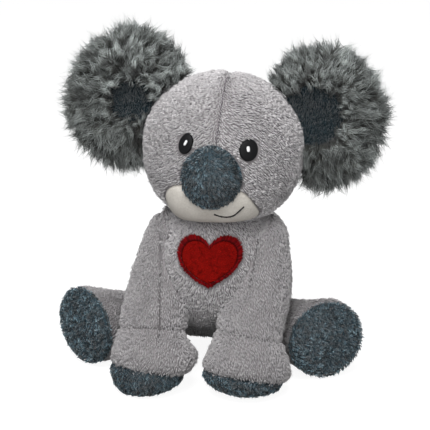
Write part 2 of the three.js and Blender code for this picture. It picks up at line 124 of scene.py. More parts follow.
# Seams: the width and depth of the dip, how near to it no pile grows, and how much shorter the
# pile is in it
SEAMS = {
    "head": (1.8, 0.9, 0.0, 0.5),
    "wrist": (1.4, 0.8, 0.2, 0.4),
    "paw": (1.8, 1.2, 0.0, 0.6),
    "sole": (1.5, 1.3, 0.0, 0.4),
}
LEG = {"rise": 1.6, "length": 60, "hip": 13.5, "sole": 22.5, "round": 6}
LEG_ANGLE = {"left": 31, "right": 42}
SOLE_LEAN = {"left": 0.15, "right": 0.21}
SOLE_SEAM = {"left": {"behind": 8, "lean": 0.08}, "right": {"behind": 8.7, "lean": 0.12}}
HEART = {"half_width": 17.3, "height": 26.6, "rise": 10.0, "x": 2.0, "edge": 3, "stitches": 170}
HEART_CURVES = (((0.56, -0.62), (1, -0.22), (1, 0.34)), ((1, 1.1), (0.3, 1.28), (0, 0.66)))
NECK = {"levels": (39.25, 39.75), "rise": (20, 32), "rings": 9, "around": 180}

FILLING = {"voxel": 4.5, "pressure": 120.0, "frames": 20, "cap": 1.5}
SHORT_ROOM = 1.1  # the cloth lies this far inside the solid's surface, for the short pile
FLOOR_GAP = 0.2  # the least height of any cloth
CUT_GAP = 0.3  # between the two parts of a limb's cloth
UNDER = -0.9  # a patch's back is this far inside the form it is sewn on

# Pile under this height in millimetres is pressed flat by the floor
FLAT_BELOW = 0.5
FLATTENED = 0.15

# Where the photograph is taken from, and how it is lit
CAMERA = {"azimuth": 8, "elevation": 18, "distance": 1.05, "aim": (-1.1, 79.75), "lens": 160.3}
AMBIENT = 0.3
FLOOR_PALE = 0.2
FLOOR_GLOW = 0.92
FLOOR_HALF = 6.0
LAMPS = (("key", (-0.03, -0.75, 1.05), 0.7, 16.5), ("fill", (0.12, -1.25, 0.35), 0.9, 10.0))
LIT_SPOT = (0, 0, 0.09)


def unit(vectors):
    """Vectors at length one, rows of an array or a single one."""
    lengths = np.linalg.norm(vectors, axis=-1, keepdims=True)
    return vectors / np.maximum(lengths, 1e-9)


def turned(axis, angle):
    """A rotation about X, Y or Z as a 3 by 3 array."""
    return np.array(Matrix.Rotation(angle, 3, axis))


def joint_place(name):
    """Where a joint is, in millimetres."""
    found = [j for j in frame["record"]["behaviour"]["joints"] if j["name"] == name]
    return np.array(found[0]["pos_m"]) / MM


# Fields: below zero inside a form, about the distance in millimetres outside it


def ovoid(half, centre, below=None, powers=(2, 2), jaw=0.0):
    """A ball with an upper and a lower half, whose sides may draw in towards the bottom."""
    half = np.array(half, float)
    below = below or half[2]

    def field(p):
        q = (p - centre) / half
        low = q[:, 2] < 0
        z = np.where(low, np.abs(q[:, 2]) * half[2] / below, np.abs(q[:, 2]))
        power = np.where(low, powers[1], powers[0])
        flat = np.hypot(q[:, 0] * np.where(low, 1 + jaw * z * z, 1), q[:, 1])
        return ((flat**power + z**power) ** (1 / power) - 1) * min(half[1], half[0])

    return field


def blended(first, second, blend):
    """Two forms as one, with a smooth valley between them."""

    def field(p):
        a, b = first(p), second(p)
        near = np.maximum(blend - np.abs(a - b), 0)
        return np.minimum(a, b) - near * near / (4 * blend)

    return field


def farthest(*fields):
    """The part that all the forms share."""
    return lambda p: np.max([f(p) for f in fields], axis=0)


def carved(first, second, blend):
    """The part that two forms share, with a round edge."""
    outside = blended(lambda p: -first(p), lambda p: -second(p), blend)
    return lambda p: -outside(p)


def in_frame(field, rotation, origin):
    """A field that is given in another frame."""
    return lambda p: field((p - origin) @ rotation)


def slopes(field, points, step=0.05):
    """Which way a field rises fastest, and how fast."""
    rise = [field(points + step * way) - field(points - step * way) for way in np.eye(3)]
    return np.stack(rise, axis=1) / (2 * step)


def pushed_out(points, field, gap, rounds=8):
    """Points that lie closer to a form than the gap are pushed out to it."""
    points = points.copy()
    for _ in range(rounds):
        short = gap - field(points)
        close = short > 1e-4
        if not close.any():
            break
        way = slopes(field, points[close])
        steep = np.maximum((way * way).sum(1, keepdims=True), 0.05)
        points[close] += way / steep * short[close, None]
    return points


def edge_reach(inside, shape, far, rounds):
    """How far out rays leave a form, found by halving. inside says which reaches are in it."""
    low, high = np.zeros(shape), np.full(shape, far)
    for _ in range(rounds):
        reach = (low + high) / 2
        within = inside(reach)
        low, high = np.where(within, reach, low), np.where(within, high, reach)
    return low


def cast(field, starts, ways, level, far=90.0, rounds=32):
    """Where rays from inside a form come out to a level of its field."""

    def inside(reach):
        return field(starts + ways * reach[:, None]) < level

    return starts + ways * edge_reach(inside, len(ways), far, rounds)[:, None]


# Torso and head as fields
chest_middle = np.array([0.0, -CHEST["forward"], CHEST["height"]])
seat_middle = np.array([0.0, SEAT["back"], SEAT["below"] - PRESSED])
chest_field = ovoid([CHEST["radius"]] * 3, chest_middle)
seat_field = ovoid(SEAT["half"], seat_middle, SEAT["below"], SEAT["powers"])
torso_field = blended(chest_field, seat_field, SEAT["blend"])

head_rotation = turned("Y", HEAD_TILT) @ turned("Z", HEAD_TURN)
head_centre = np.array([0.0, -HEAD["forward"], CHEST["radius"] + HEAD["below"] - HEAD["overlap"]])
head_ball = ovoid(HEAD["half"], head_centre, HEAD["below"], HEAD["powers"], JAW)
head_field = farthest(head_ball, lambda p: NECK_RADIUS - np.linalg.norm(p, axis=1))
head_in_toy = in_frame(head_field, head_rotation, chest_middle)

# The solids' frame has its origin under the middle of the whole toy
toy_shift = joint_place("head_turn") - chest_middle


def to_place(points):
    """Points of the toy, in metres in the frame of the solids."""
    return (points + toy_shift) * MM


def on_toy(points):
    """Points of the head's own frame, in the toy's."""
    return points @ head_rotation.T + chest_middle


# Meshes


def mesh_of(name, points, faces):
    mesh = bpy.data.meshes.new(name)
    mesh.from_pydata(points.tolist(), [], [list(map(int, f)) for f in faces])
    mesh.update()
    mesh.shade_smooth()
    return mesh


def piece_of(name, mesh, material=None):
    made = bpy.data.objects.new(name, mesh)
    bpy.context.collection.objects.link(made)
    if material:
        mesh.materials.append(material)
    return made


def remade(piece):
    """The mesh that a piece's modifiers make, as a new one."""
    bpy.context.view_layer.update()
    ready = piece.evaluated_get(bpy.context.evaluated_depsgraph_get())
    return bpy.data.meshes.new_from_object(ready)


def rows(group, key):
    """The places or directions of a mesh's vertices, as rows of an array."""
    found = np.empty(len(group) * 3)
    group.foreach_get(key, found)
    return found.reshape(-1, 3)


def record_on(mesh, name, values):
    """Keeps a number or a direction for each vertex."""
    kind, key = ("FLOAT_VECTOR", "vector") if values.ndim == 2 else ("FLOAT", "value")
    slot = mesh.attributes.get(name) or mesh.attributes.new(name, kind, "POINT")
    slot.data.foreach_set(key, values.astype(np.float32).ravel())


def ball_mesh(fineness):
    bm = bmesh.new()
    bmesh.ops.create_icosphere(bm, subdivisions=fineness, radius=1)
    points = np.array([v.co for v in bm.verts])
    faces = [[v.index for v in f.verts] for f in bm.faces]
    bm.free()
    return points, faces


def wrapped(field, centre, fineness):
    """The surface of a form, found outwards from a point inside it."""
    ways, faces = ball_mesh(fineness)
    return cast(field, centre, ways, 0, 200.0, 30), faces


def far_along(line):
    """How far along a line each of its points is."""
    return np.concatenate([[0], np.cumsum(np.linalg.norm(np.diff(line, axis=0), axis=1))])


def smooth_curve(stops, count):
    """A smooth curve through stops, as points at even steps between each two of them."""
    stops = np.array(stops, float)
    padded = np.vstack([2 * stops[0] - stops[1], stops, 2 * stops[-1] - stops[-2]])
    gaps = np.linalg.norm(np.diff(padded, axis=0), axis=1) ** 0.5
    share = np.linspace(0, len(stops) - 1, count)
    first = np.minimum(share.astype(int), len(stops) - 2)
    t = (share - first)[:, None]
    found = np.empty((count, stops.shape[1]))
    for k in range(len(stops) - 1):
        before, here, after = gaps[k : k + 3]
        here = here if here > 1e-2 else 1.0
        before = before if before > 1e-2 else here
        after = after if after > 1e-2 else here
        p0, p1, p2, p3 = padded[k : k + 4]
        leave = ((p1 - p0) / before - (p2 - p0) / (before + here) + (p2 - p1) / here) * here
        arrive = ((p2 - p1) / here - (p3 - p1) / (here + after) + (p3 - p2) / after) * here
        a, b = -3 * p1 + 3 * p2 - 2 * leave - arrive, 2 * p1 - 2 * p2 + leave + arrive
        on = first == k
        found[on] = p1 + leave * t[on] + a * t[on] ** 2 + b * t[on] ** 3
    return found


def ring_faces(rings, around):
    """Faces of a form of rings, with a tip before the first ring and one after the last."""
    faces = []
    last = 1 + (rings - 1) * around
    for j in range(around):
        k = (j + 1) % around
        faces.append((0, 1 + k, 1 + j))
        for a in range(1, last, around):
            faces.append((a + j, a + k, a + around + k, a + around + j))
        faces.append((last + around, last + j, last + k))
    return faces


def tube(stops, girths, round_start, round_end, clear=None, around=104, rings=120):
    """A soft tube with round ends, as points and faces. It keeps to where clear is above zero."""
    fine = 600
    line, size = smooth_curve(stops, fine), smooth_curve(girths, fine)
    far = far_along(line)
    length, inset, cap = far[-1], SHORT_ROOM, 16
    turn = np.linspace(0, math.pi / 2, cap + 1)[1:]
    start, end = ((each - inset) * (1 - np.cos(turn)) for each in (round_start, round_end))
    between = np.linspace(round_start, length - round_end, rings - 2 * cap + 2)[1:-1]
    along = np.concatenate([inset + start, between, (length - inset - end)[::-1]])
    swell = np.concatenate([np.sin(turn), np.ones(rings - 2 * cap), np.sin(turn)[::-1]])

    def at(distance, values):
        return np.stack([np.interp(distance, far, v) for v in values.T], axis=1)

    middle = at(along, line)
    ahead = unit(at(along + 0.5, line) - at(along - 0.5, line))
    deep = unit(np.cross(ahead, [1.0, 0, 0]))
    wide = unit(np.cross(deep, ahead))
    half = (at(along, size) - inset) * swell[:, None]
    angle = np.linspace(0, 2 * math.pi, around, endpoint=False)[None, :, None]
    cos, sin = np.cos(angle), np.sin(angle)
    if clear is None:
        ring = middle[:, None] + wide[:, None] * cos * half[:, None, :1]
        ring = ring + deep[:, None] * sin * half[:, None, 1:]
        tips = at(np.array([inset, length - inset]), line)
    else:
        hub, kept = hubs(middle, wide, deep, half, clear)
        middle, wide, deep, half, hub = (a[kept] for a in (middle, wide, deep, half, hub))
        ways = wide[:, None] * cos + deep[:, None] * sin

        def inside(reach):
            place = hub[:, None] + ways * reach[..., None]
            off = place - middle[:, None]
            x = (off * wide[:, None]).sum(2) / half[:, :1]
            y = (off * deep[:, None]).sum(2) / half[:, 1:]
            free = clear(place.reshape(-1, 3)).reshape(reach.shape) > 0
            return (x * x + y * y < 1) & free

        reach = edge_reach(inside, ways.shape[:2], 60.0, 26)
        ring = hub[:, None] + ways * reach[..., None]
        tips = ring[[0, -1]].mean(1)
    points = np.vstack([tips[:1], ring.reshape(-1, 3), tips[1:]])
    return points, ring_faces(len(ring), around)


def hubs(middle, wide, deep, half, clear):
    """A point well inside what is left of each ring of a tube, and which rings have any left."""
    steps = np.linspace(-0.9, 0.9, 19)
    x, y = (v.ravel() for v in np.meshgrid(steps, steps))
    x, y = x[np.hypot(x, y) < 0.95], y[np.hypot(x, y) < 0.95]
    tried = middle[:, None] + wide[:, None] * (x[None, :, None] * half[:, None, :1])
    tried = tried + deep[:, None] * (y[None, :, None] * half[:, None, 1:])
    room = clear(tried.reshape(-1, 3)).reshape(tried.shape[:2])
    rim = (1 - np.hypot(x, y))[None] * half.min(1)[:, None]
    room = np.minimum(room, rim)
    found = tried[np.arange(len(tried)), room.argmax(1)]
    kept = np.nonzero(room.max(1) > 0.4)[0]
    smooth = found.copy()
    for _ in range(30):
        run = smooth[kept]
        run[1:-1] = (run[:-2] + 2 * run[1:-1] + run[2:]) / 4
        smooth[kept] = run
    still = clear(smooth) > 0.1
    return np.where(still[:, None], smooth, found), kept


# Node trees


def feed(tree, socket, value):
    """Links another node's output to an input, or sets a plain value."""
    if isinstance(value, bpy.types.NodeSocket):
        tree.links.new(value, socket)
    else:
        socket.default_value = value


def add(tree, kind, inputs=None, **settings):
    """A node with its settings, whose inputs are values or other nodes' outputs."""
    made = tree.nodes.new(kind)
    for key, value in settings.items():
        setattr(made, key, value)
    for key, value in (inputs or {}).items():
        feed(tree, made.inputs[key], value)
    return made


def to_end(tree, made, kind):
    """Links a node to the tree's output."""
    tree.links.new(made.outputs[0], tree.nodes.new(kind).inputs[0])


def maths(tree, operation, made, *others):
    """Two or more values put together in turn, or the change of a single one."""
    for other in others or (0.0,):
        made = add(tree, "ShaderNodeMath", {0: made, 1: other}, operation=operation).outputs[0]
    return made


def vectors(tree, operation, a, b=None, scale=None):
    given = {key: v for key, v in ((0, a), (1, b), ("Scale", scale)) if v is not None}
    made = add(tree, "ShaderNodeVectorMath", given, operation=operation)
    return made.outputs["Value" if operation in ("DOT_PRODUCT", "LENGTH") else "Vector"]


def named(tree, name, kind="FLOAT"):
    found = add(tree, "GeometryNodeInputNamedAttribute", {"Name": name}, data_type=kind)
    return found.outputs["Attribute"]


def noise(tree, place, scale, detail=1.0):
    inputs = {"Vector": place, "Scale": scale, "Detail": detail}
    return add(tree, "ShaderNodeTexNoise", inputs).outputs


def spread_of(tree, value, low, high, to_low=0.0, to_high=1.0):
    inputs = {"From Min": low, "From Max": high, "To Min": to_low, "To Max": to_high}
    return add(tree, "ShaderNodeMapRange", {"Value": value, **inputs}).outputs["Result"]


# What a tree is given: a kind of thing, or a number with the value it has when none is given
TUFT_INPUTS = {
    "Tuft": "Object",
    "Spacing": 0.9 * MM,
    "Length": 3 * MM,
    "Girth": 0.7 * MM,
    "Uneven": 0.25,
    "Lean": 1.0,
    "Wander": 0.5,
    "Patch": 7 * MM,
    "Clump": 2.2 * MM,
    "Twist": 0.4,
    "Seed": 1,
    "Material": "Material",
}
STITCH_INPUTS = {"Stitch": "Object", "Girth": 0.5 * MM, "Material": "Material"}
NUMBERS = {float: "Float", int: "Int"}


def new_tree(name, given, inputs, made):
    tree = bpy.data.node_groups.new(name, "GeometryNodeTree")
    for label, value in {given: "Geometry", **inputs}.items():
        kind = NUMBERS.get(type(value), value)
        socket = tree.interface.new_socket(label, in_out="INPUT", socket_type=f"NodeSocket{kind}")
        if type(value) in NUMBERS:
            socket.default_value = value
    tree.interface.new_socket(made, in_out="OUTPUT", socket_type="NodeSocketGeometry")
    return tree, tree.nodes.new("NodeGroupInput").outputs


def chance(tree, least, most, seed):
    """A random number for each tuft or stitch."""
    made = add(tree, "FunctionNodeRandomValue", {"Seed": seed}, data_type="FLOAT")
    for socket, value in zip([s for s in made.inputs if s.enabled], (least, most)):
        feed(tree, socket, value)
    return [s for s in made.outputs if s.enabled][0]


def stored(tree, geometry, name, value, kind, domain):
    inputs = {"Geometry": geometry, "Name": name, "Value": value}
    settings = {"data_type": kind, "domain": domain}
    return add(tree, "GeometryNodeStoreNamedAttribute", inputs, **settings).outputs[0]


def finish_strands(tree, instances, shade, material):
    """Makes instances real. Each strand's map keeps its shade and the way from root to tip."""
    shaded = stored(tree, instances, "shade", shade, "FLOAT", "INSTANCE")
    real = add(tree, "GeometryNodeRealizeInstances", {"Geometry": shaded}).outputs[0]
    parts = {"X": named(tree, "shade"), "Y": named(tree, "along")}
    pair = add(tree, "ShaderNodeCombineXYZ", parts).outputs[0]
    mapped = stored(tree, real, STRAND_MAP, pair, "FLOAT2", "CORNER")
    clothed = add(tree, "GeometryNodeSetMaterial", {"Geometry": mapped, "Material": material})
    to_end(tree, clothed, "NodeGroupOutput")
    return tree


def planted(tree, points, strand, rotation, thick, long):
    """A strand at each point."""
    shown = add(tree, "GeometryNodeObjectInfo", {"Object": strand, "As Instance": True})
    size = add(tree, "ShaderNodeCombineXYZ", {"X": thick, "Y": thick, "Z": long})
    inputs = {
        "Points": points,
        "Instance": shown.outputs["Geometry"],
        "Rotation": rotation,
        "Scale": size.outputs[0],
    }
    return add(tree, "GeometryNodeInstanceOnPoints", inputs).outputs[0]


def aimed(tree, way, side):
    """A rotation whose Z is along a way and whose X leans towards a side."""
    inputs = {"Primary Axis": way, "Secondary Axis": side}
    settings = {"primary_axis": "Z", "secondary_axis": "X"}
    return add(tree, "FunctionNodeAxesToRotation", inputs, **settings).outputs["Rotation"]


def clumps(tree, place, size):
    """From 0 to 1 by place, in patches of a size."""
    scale = maths(tree, "DIVIDE", 1.0, size)
    return spread_of(tree, noise(tree, place, scale)["Fac"], 0.32, 0.68)


def pile_tree():
    """Tufts over a cloth. The cloth's own 'cover' thins them, 'reach' shortens them, 'lay' lays
    them down and 'comb' is the way they are combed."""
    tree, given = new_tree("pile", "Cloth", TUFT_INPUTS, "Pile")
    area = maths(tree, "MULTIPLY", given["Spacing"], given["Spacing"])
    inputs = {
        "Mesh": given["Cloth"],
        "Distance Min": given["Spacing"],
        "Density Max": maths(tree, "DIVIDE", 2.5, area),
        "Density Factor": named(tree, "cover"),
        "Seed": given["Seed"],
    }
    kind = "GeometryNodeDistributePointsOnFaces"
    spread = add(tree, kind, inputs, distribute_method="POISSON").outputs
    normal = spread["Normal"]
    place = add(tree, "GeometryNodeInputPosition").outputs[0]
    flow = named(tree, "comb", "FLOAT_VECTOR")
    for strength, finer in ((4.0, 1.0), (3.2, 4.5)):
        scale = maths(tree, "DIVIDE", finer, given["Patch"])
        drift = vectors(tree, "SUBTRACT", noise(tree, place, scale)["Color"], (0.5, 0.5, 0.5))
        amount = maths(tree, "MULTIPLY", given["Wander"], strength)
        flow = vectors(tree, "ADD", flow, vectors(tree, "SCALE", drift, scale=amount))
    along = vectors(tree, "DOT_PRODUCT", flow, normal)
    flow = vectors(tree, "SUBTRACT", flow, vectors(tree, "SCALE", normal, scale=along))
    flow = vectors(tree, "NORMALIZE", flow)
    clump = clumps(tree, place, given["Clump"])
    by_clump = spread_of(tree, clump, 0.0, 1.0, 0.72, 1.22)
    lean = maths(tree, "MULTIPLY", given["Lean"], chance(tree, 0.85, 1.12, 3), by_clump)
    lean = maths(tree, "MULTIPLY", lean, named(tree, "lay"))
    up = vectors(tree, "SCALE", normal, scale=maths(tree, "COSINE", lean))
    out = vectors(tree, "SCALE", flow, scale=maths(tree, "SINE", lean))
    turn = aimed(tree, vectors(tree, "ADD", up, out), normal)
    back = maths(tree, "MULTIPLY", given["Twist"], -1.0)
    inputs = {"Axis": (0, 0, 1), "Angle": chance(tree, back, given["Twist"], 17)}
    twist = add(tree, "FunctionNodeAxisAngleToRotation", inputs).outputs[0]
    inputs = {0: turn, 1: twist}
    turn = add(tree, "FunctionNodeRotateRotation", inputs, rotation_space="LOCAL").outputs[0]
    least, most = (maths(tree, way, 1.0, given["Uneven"]) for way in ("SUBTRACT", "ADD"))
    uneven = chance(tree, least, most, 5)
    long = maths(tree, "MULTIPLY", given["Length"], uneven, named(tree, "reach"))
    thick = maths(tree, "MULTIPLY", given["Girth"], chance(tree, 0.7, 1.3, 7))
    tufts = planted(tree, spread["Points"], given["Tuft"], turn, thick, long)
    # Each tuft's shade: broad patches and chance are the cloth's own tone; the part from the
    # clumps, darker where tufts lean further, is painted shade in the hollows between clumps
    broad = maths(tree, "MULTIPLY", clumps(tree, place, given["Patch"]), 0.35)
    light = maths(tree, "MULTIPLY", maths(tree, "SUBTRACT", 1.0, clump), 0.35)
    shade = maths(tree, "ADD", broad, light, chance(tree, 0.0, 0.3, 11))
    return finish_strands(tree, tufts, shade, given["Material"])


def stitch_tree():
    """A stitch from each point, as long as the point's 'way', that bows to its 'over'."""
    tree, given = new_tree("stitches", "Points", STITCH_INPUTS, "Stitches")
    way = named(tree, "way", "FLOAT_VECTOR")
    turn = aimed(tree, way, named(tree, "over", "FLOAT_VECTOR"))
    thick = maths(tree, "MULTIPLY", given["Girth"], chance(tree, 0.85, 1.15, 7))
    long = vectors(tree, "LENGTH", way)
    sewn = planted(tree, given["Points"], given["Stitch"], turn, thick, long)
    return finish_strands(tree, sewn, chance(tree, 0.0, 1.0, 13), given["Material"])


STRAND_FACTS = ("cover", "reach", "lay", "comb", "way", "over", "shade", "along")


def run_tree(name, tree, mesh, values):
    """The plain mesh that a tree makes from a mesh, as a new piece."""
    carrier = piece_of(name, mesh)
    modifier = carrier.modifiers.new("made", "NODES")
    modifier.node_group = tree
    keys = {s.name: s.identifier for s in tree.interface.items_tree if s.in_out == "INPUT"}
    for key, value in values.items():
        modifier[keys[key]] = value
    made = remade(carrier)
    made.name = name
    carrier.modifiers.remove(modifier)
    carrier.data = made
    bpy.data.meshes.remove(mesh)
    for attribute in list(made.attributes):
        if attribute.name in STRAND_FACTS:
            made.attributes.remove(attribute)
    return carrier


# Strands: one metre high and one metre thick, until they are planted


def strand(rings, around, bow, root=(0.0, 0.0), tip=(0.0, 0.0), tall=1.0):
    """Points, faces and heights of one strand from its root to its tip, through (height,
    radius) rings. It bows towards +X."""
    root, tip = np.array(root), np.array(tip)
    points, heights = [], []
    for height, radius in ((0.0, 0), *rings, (1.0, 0)):
        x, y = root + (tip - root) * height
        middle = np.array([x + bow * 4 * height * (1 - height) * tall, y, height * tall])
        for j in range(around if radius else 1):
            angle = 2 * math.pi * j / around
            points.append(middle + [radius * math.cos(angle), radius * math.sin(angle), 0])
            heights.append(height)
    return np.array(points), ring_faces(len(rings), around), np.array(heights)


def fur_lock(strands, seed, thick, levels, bow=(0.4, 1.0), close=(0.1, 0.9)):
    """A lock of fur or pile, whose strands may draw together at their tips. Levels are (height,
    share of the thickness)."""
    draw = np.random.default_rng(seed)
    points, faces, heights = [], [], []
    for i in range(strands):
        angle = 2 * math.pi * (i + draw.uniform(-0.3, 0.3)) / strands
        out = 0.5 * draw.uniform(0.35, 1.0)
        root = (out * math.cos(angle), out * math.sin(angle))
        drawn = draw.uniform(*close)
        tip = (root[0] * drawn + draw.uniform(-0.2, 0.2), root[1] * drawn)
        rings = [(height, thick * share * draw.uniform(0.8, 1.2)) for height, share in levels]
        made = strand(rings, 3, draw.uniform(*bow), root, tip, draw.uniform(0.6, 1.0))
        faces += [[j + len(points) for j in face] for face in made[1]]
        points += list(made[0])
        heights += list(made[2])
    return np.array(points), faces, np.array(heights)


def kept_strand(name, points, faces, heights):
    mesh = mesh_of(name, points, faces)
    record_on(mesh, "along", heights)
    return piece_of(name, mesh)


# Finishes


def cleared(data):
    """The node tree of a new material or world, emptied."""
    data.use_nodes = True
    data.node_tree.nodes.clear()
    return data.node_tree


def finish_of(name, build, roughness, sheen, gloss):
    """A cloth finish. build gives its colour, and the height and depth of its bumps."""
    made = bpy.data.materials.new(name)
    tree = cleared(made)
    colour, height, depth = build(tree)
    inputs = {
        "Base Color": colour,
        "Roughness": roughness,
        "Sheen Weight": sheen,
        "Sheen Roughness": 0.4,
        "Sheen Tint": (1, 1, 1, 1),
        "Specular IOR Level": gloss,
    }
    if height:
        bump = add(tree, "ShaderNodeBump", {"Height": height, "Distance": depth, "Strength": 1.0})
        inputs["Normal"] = bump.outputs[0]
    to_end(tree, add(tree, "ShaderNodeBsdfPrincipled", inputs), "ShaderNodeOutputMaterial")
    return made


def mixed(tree, share, first, second, blend="MIX"):
    settings = {"data_type": "RGBA", "blend_type": blend, "clamp_factor": True}
    return add(tree, "ShaderNodeMix", {0: share, 6: first, 7: second}, **settings).outputs[2]


def noise_at(tree, scale, detail=2.0):
    place = add(tree, "ShaderNodeTexCoord").outputs["Object"]
    return noise(tree, place, scale, detail)["Fac"]


def strand_finish(
    name, colours, middle, uneven, sheen=0.3, roughness=0.85, gloss=0.15, ends=(0, 1), mottle=None
):
    """Colours at the root, at the height of the middle and at the tip, with a lighter or darker
    shade for each strand. Mottle is the depth and the scale of broader light and dark places."""

    def build(tree):
        pair = add(tree, "ShaderNodeUVMap", uv_map=STRAND_MAP).outputs[0]
        split = add(tree, "ShaderNodeSeparateXYZ", {0: pair}).outputs
        ramp = add(tree, "ShaderNodeValToRGB", {0: split["Y"]})
        stops = ramp.color_ramp.elements
        stops.new(0.5)
        for stop, place, colour in zip(stops, (0.0, middle, 1.0), colours):
            stop.position = place
            stop.color = (*colour, 1)
        shade = spread_of(tree, split["X"], *ends, 1 - uneven, 1 + uneven)
        if mottle:
            depth, scale = mottle
            broad = spread_of(tree, noise_at(tree, scale), 0.38, 0.62, 1 - depth, 1 + depth)
            shade = maths(tree, "MULTIPLY", shade, broad)
        grey = add(tree, "ShaderNodeCombineColor", {0: shade, 1: shade, 2: shade}).outputs[0]
        return mixed(tree, 1.0, ramp.outputs[0], grey, "MULTIPLY"), None, 0

    return finish_of(name, build, roughness, sheen, gloss)


def cloth_finish(name, dark, light, scale=1100.0, depth=0.3 * MM, sheen=0.2, gloss=0.2):
    """Cloth with a fine grain and soft broad patches, darkened by a value kept on the mesh:
    painted shade in seams and along rims.
    """

    def build(tree):
        grain = noise_at(tree, scale, 3.0)
        broad = spread_of(tree, noise_at(tree, 70.0), 0.35, 0.65, 0.0, 0.3)
        share = maths(tree, "ADD", maths(tree, "MULTIPLY", grain, 0.7), broad)
        colour = mixed(tree, share, (*dark, 1), (*light, 1))
        # Painted shade: the colour goes towards 0.45 of the dark colour in seams and along the
        # rims of patches
        crease_shade = add(tree, "ShaderNodeAttribute", attribute_name="crease_shade").outputs["Fac"]
        painted_shade_colour = tuple(0.45 * value for value in dark)
        return mixed(tree, crease_shade, colour, (*painted_shade_colour, 1)), grain, depth

    return finish_of(name, build, 0.9, sheen, gloss)


def shaded(colours, share):
    return [tuple(share * value for value in colour) for colour in colours]


# Colours of strands at the root, in the middle and at the tip. The dark roots of pile and fur are
# painted shade down among the strands. Stitches are lighter at the middle of their bow, a painted
# highlight on their crest, and the red ones darken at their inner ends, painted shade at the felt.
GREY = ((0.24, 0.225, 0.23), (0.54, 0.52, 0.53), (0.66, 0.64, 0.65))
SLATE = ((0.003, 0.005, 0.008), (0.042, 0.072, 0.09), (0.40, 0.54, 0.595))
FUR = ((0.007, 0.006, 0.005), (0.062, 0.065, 0.06), (0.43, 0.47, 0.46))
PAD = ((0.001, 0.004, 0.006), (0.005, 0.014, 0.019), (0.02, 0.046, 0.058))
CREAM = ((0.24, 0.20, 0.16), (0.48, 0.445, 0.40), (0.56, 0.53, 0.485))
FELT = ((0.08, 0.001, 0.001), (0.21, 0.004, 0.002), (0.30, 0.007, 0.004))
RED = ((0.02, 0.0, 0.0), (0.10, 0.001, 0.002), (0.14, 0.002, 0.003))
BLACK = ((0.003, 0.003, 0.004), (0.011, 0.011, 0.012), (0.006, 0.006, 0.007))
WHITE = ((0.72, 0.72, 0.73), (0.85, 0.85, 0.85), (0.78, 0.78, 0.79))
MAUVE = ((0.05, 0.035, 0.05), (0.11, 0.08, 0.11), (0.07, 0.05, 0.07))

grey_pile = strand_finish("grey_plush_pile", GREY, 0.4, 0.15, mottle=(0.08, 300.0))
# Painted shade: the pile of the front legs, the torso and the hind legs is the head's grey made
# darker, for the shade they lie in
limb_pile_painted_shade = strand_finish("grey_limb_pile_painted_shade", shaded(GREY, 0.665), 0.4, 0.2)
body_pile_painted_shade = strand_finish("grey_body_pile_painted_shade", shaded(GREY, 0.86), 0.4, 0.1)
thigh_pile_painted_shade = strand_finish(
    "grey_thigh_pile_painted_shade", shaded(GREY, 0.59), 0.4, 0.25, mottle=(0.12, 300.0)
)
# Painted shade: the slate pile's and the ear fur's mottle darkens patches for the gaps between
# ridges and locks
slate_pile = strand_finish(
    "slate_plush_pile", SLATE, 0.65, 0.6, ends=(0.25, 0.75), mottle=(0.65, 380.0)
)
ear_fur = strand_finish(
    "long_ear_fur", FUR, 0.6, 0.75, 0.15, ends=(0.2, 0.8), mottle=(0.35, 200.0)
)
pad_pile = strand_finish("ear_pad_pile", PAD, 0.5, 0.4)
cream_pile = strand_finish(
    "cream_velour_pile", CREAM, 0.5, 0.2, 0.1, 0.95, 0.05, mottle=(0.25, 900.0)
)
felt_pile = strand_finish("red_felt_fuzz", FELT, 0.5, 0.6, 0.0, 0.9, 0.05, (0.2, 0.8))
red_thread = strand_finish("dark_red_satin", RED, 0.3, 0.5, 0.0, 0.75, 0.06)
black_thread = strand_finish("black_satin", BLACK, 0.5, 0.4, 0.0, 0.55, 0.12)
white_thread = strand_finish("white_satin", WHITE, 0.5, 0.05, 0.0, 0.45, 0.4)
mauve_thread = strand_finish("mauve_thread", MAUVE, 0.5, 0.3, 0.0, 0.7, 0.3)

# Painted shade: the grey backing is darker than its pile's roots, and the other dark backings take
# their pile's root colours, so that bare cloth in seams and strips reads as shadow
grey_cloth_painted_shade = cloth_finish("grey_backing_painted_shade", (0.17, 0.16, 0.165), (0.25, 0.235, 0.24))
slate_cloth = cloth_finish("slate_backing", *SLATE[:2])
ear_cloth = cloth_finish("ear_backing", FUR[0], (0.05, 0.05, 0.045))
pad_cloth = cloth_finish("ear_pad_backing", *PAD[:2])
cream_cloth = cloth_finish(
    "cream_velour", (0.36, 0.335, 0.30), (0.66, 0.63, 0.58), 1300.0, sheen=0.0
)
red_felt = cloth_finish(
    "red_felt", (0.10, 0.001, 0.001), (0.22, 0.004, 0.002), 1000.0, 0.4 * MM, 0.0, 0.05
)


# Skins


def bell(distance, width):
    """One at no distance, and falling away over a width."""
    return np.exp(-((distance / width) ** 2))


